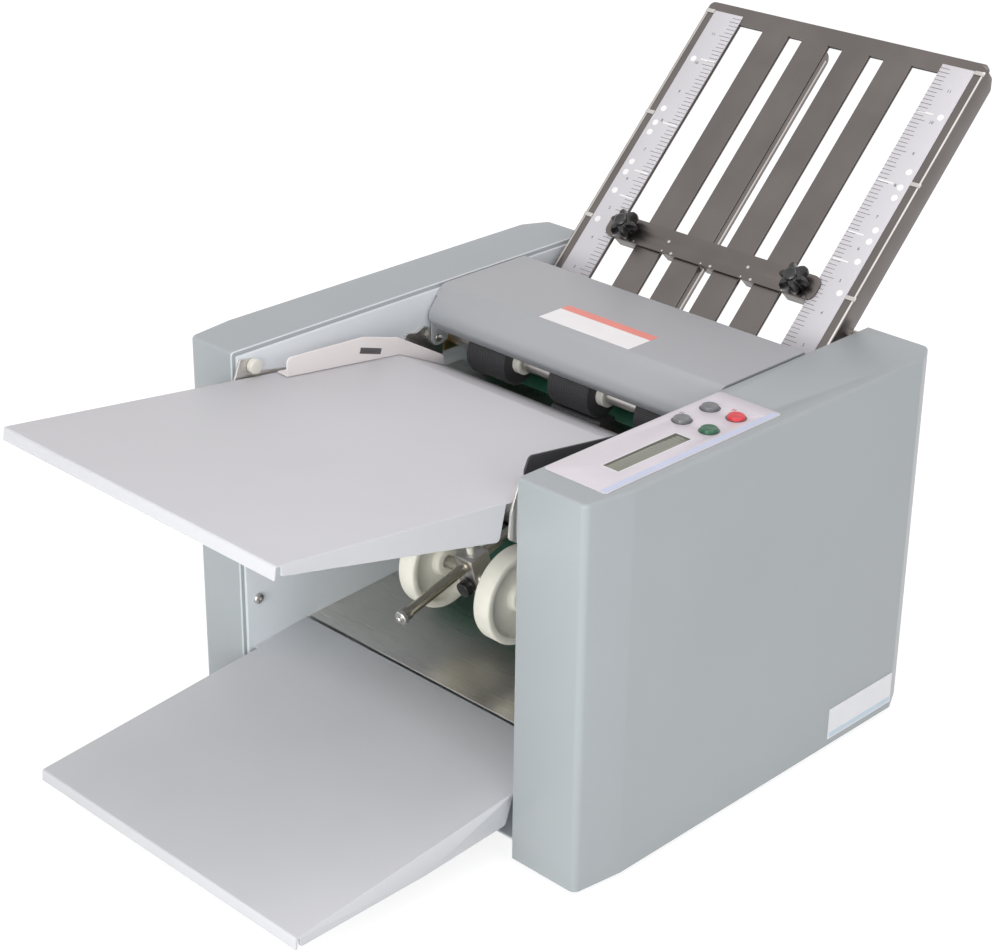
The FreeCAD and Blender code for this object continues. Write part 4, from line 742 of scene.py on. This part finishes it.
newPiece("button_rings", buttonRings, "buttonRing", "machine")

# Small coloured marks in pairs of bars beside the buttons
marks = {"wide": 0.0007, "long": 0.0030, "shifts": (0.0, 0.0016),
         "places": ((0.1276, 0.0182, "panelStripe"), (0.1281, -0.0070, "greyButton"),
                    (0.1475, 0.0190, "redButton"))}
for index, (x, y, look) in enumerate(marks["places"]):
    mark = bmesh.new()
    for shift in marks["shifts"]:
        addFilm(mark, x - marks["wide"] / 2 + shift, x + marks["wide"] / 2 + shift,
                y - marks["long"] / 2, y + marks["long"] / 2, top, panel["ink"])
    newPiece("panel_mark_%d" % (index + 1), mark, look, "machine")

# Display: a column of empty cells, and the shade that its frame casts on two sides
display = {"cells": 16, "start": 0.0040, "pitch": 0.0037, "cell": 0.0031, "margin": 0.0030, "shade": 0.0019}
cells = bmesh.new()
for k in range(display["cells"]):
    y = windowLow.y + display["start"] + k * display["pitch"]
    addFilm(cells, windowLow.x + display["margin"], windowHigh.x - display["margin"], y, y + display["cell"],
            windowHigh.z, panel["ink"] / 2)
newPiece("display_cells", cells, "displayCell", "machine")
shade = bmesh.new()
shadeRight = windowLow.x + display["shade"]
addFilm(shade, windowLow.x, shadeRight, windowLow.y, windowHigh.y, windowHigh.z, panel["ink"])
addFilm(shade, shadeRight, windowHigh.x, windowHigh.y - display["shade"], windowHigh.y, windowHigh.z,
        panel["ink"])
newPiece("display_shade", shade, "displayShade", "machine")
print("control panel dressed")

# A bare label on the top cover, with a coral band along its rear edge
label = {"left": -0.0412, "right": 0.0385, "front": 0.0458, "rear": 0.0752, "band": 0.0080, "thick": 0.00015}
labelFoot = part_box("top_cover")[1].z
bandFront = label["rear"] - label["band"]
bare = bmesh.new()
addFilm(bare, label["left"], label["right"], label["front"], bandFront, labelFoot, label["thick"])
newPiece("lid_label", bare, "whiteInk", "lid")
band = bmesh.new()
addFilm(band, label["left"], label["right"], bandFront, label["rear"], labelFoot, label["thick"])
newPiece("lid_label_band", band, "coralFilm", "lid")

# A pale blue edge along the foot of the bare side plate
edging = {"wide": 0.0036, "margin": 0.0010, "thick": 0.00008, "crease": 32}
blankLow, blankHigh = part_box("side_blank_plate")
blank = bmesh.new()
addBlock(blank, blankLow, (blankHigh.x - edging["thick"], blankHigh.y, blankHigh.z))
blankPlate = newPiece("side_plate_blank", blank, "blankFilm", "machine",
                      edging["crease"])
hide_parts("side_blank_plate")
blue = bmesh.new()
addBlock(blue, (blankHigh.x - edging["thick"], blankLow.y + edging["margin"], blankLow.z + edging["margin"]),
         (blankHigh.x, blankHigh.y - edging["margin"], blankLow.z + edging["margin"] + edging["wide"]))
newPiece("side_plate_edging", blue, "blueFilm", "machine")
print("label and side plate made")


# Floor and surroundings: white to the camera and in reflections, plain light for everything else

def whiteWhereSeen(nodes, links, lit, seen, output):
    path = nodes.new("ShaderNodeLightPath")
    either = nodes.new("ShaderNodeMath")
    either.operation = "MAXIMUM"
    links.new(path.outputs["Is Glossy Ray"], either.inputs[0])
    links.new(path.outputs["Is Transmission Ray"], either.inputs[1])
    anyOf = nodes.new("ShaderNodeMath")
    anyOf.operation = "MAXIMUM"
    links.new(path.outputs["Is Camera Ray"], anyOf.inputs[0])
    links.new(either.outputs["Value"], anyOf.inputs[1])
    mix = nodes.new("ShaderNodeMixShader")
    links.new(anyOf.outputs["Value"], mix.inputs["Fac"])
    links.new(lit, mix.inputs[1])
    links.new(seen, mix.inputs[2])
    links.new(mix.outputs["Shader"], output)


floorLook = {"color": (0.80, 0.80, 0.80), "roughness": 0.9, "glow": 0.82, "shade": (0.34, 0.34, 0.345),
             "reach": 6.0, "drop": 0.0005}
floorMaterial, nodes, links, shader = newMaterial("floorPaint", floorLook["color"], 0.0,
                                                  floorLook["roughness"])
glow = nodes.new("ShaderNodeEmission")
glow.inputs["Color"].default_value = (1, 1, 1, 1)
glow.inputs["Strength"].default_value = floorLook["glow"]
shaded = nodes.new("ShaderNodeBsdfDiffuse")
shaded.inputs["Color"].default_value = (*floorLook["shade"], 1)
both = nodes.new("ShaderNodeAddShader")
links.new(glow.outputs["Emission"], both.inputs[0])
links.new(shaded.outputs["BSDF"], both.inputs[1])
whiteWhereSeen(nodes, links, shader.outputs["BSDF"], both.outputs["Shader"],
               nodes["Material Output"].inputs["Surface"])
reach = floorLook["reach"]
floorMesh = bpy.data.meshes.new("floor")
floorMesh.from_pydata([(-reach, -reach, 0), (reach, -reach, 0), (reach, reach, 0), (-reach, reach, 0)],
                      [], [(0, 1, 2, 3)])
floorMesh.materials.append(floorMaterial)
floor = bpy.data.objects.new("floor", floorMesh)
bpy.context.scene.collection.objects.link(floor)
floor.location.z = -floorLook["drop"]

worldLook = {"color": (1.0, 0.985, 0.995), "strength": 0.56}
world = bpy.data.worlds.new("studio")
bpy.context.scene.world = world
world.use_nodes = True
nodes = world.node_tree.nodes
links = world.node_tree.links
soft = nodes["Background"]
soft.inputs["Color"].default_value = (*worldLook["color"], 1)
soft.inputs["Strength"].default_value = worldLook["strength"]
clear = nodes.new("ShaderNodeBackground")
clear.inputs["Color"].default_value = (1, 1, 1, 1)
whiteWhereSeen(nodes, links, soft.outputs["Background"], clear.outputs["Background"],
               nodes["World Output"].inputs["Surface"])

# Square lamps, all aimed at the middle of the machine
lampAim = Vector((0, 0, 0.2))
lamps = {
    "key": {"from": (0.70, -1.85, 0.90), "size": 1.5, "power": 17.6, "color": (0.98, 0.99, 1.0)},
    "low": {"from": (0.40, -1.9, 0.32), "size": 0.9, "power": 11.0, "color": (1.0, 0.99, 0.97)},
    "side": {"from": (2.4, -0.5, 0.7), "size": 1.4, "power": 9.6, "color": (0.95, 1.0, 1.0)},
    "top": {"from": (0.40, 0.25, 2.6), "size": 2.0, "power": 19.6, "color": (1.0, 0.88, 0.92)},
}
for name, lamp in lamps.items():
    data = bpy.data.lights.new(name, "AREA")
    data.shape = "SQUARE"
    data.size = lamp["size"]
    data.energy = lamp["power"]
    data.color = lamp["color"]
    holder = bpy.data.objects.new(name, data)
    holder.location = lamp["from"]
    holder.rotation_euler = (lampAim - Vector(lamp["from"])).to_track_quat("-Z", "Y").to_euler()
    bpy.context.scene.collection.objects.link(holder)
bpy.context.scene.view_settings.view_transform = "Standard"
print("floor and light set")
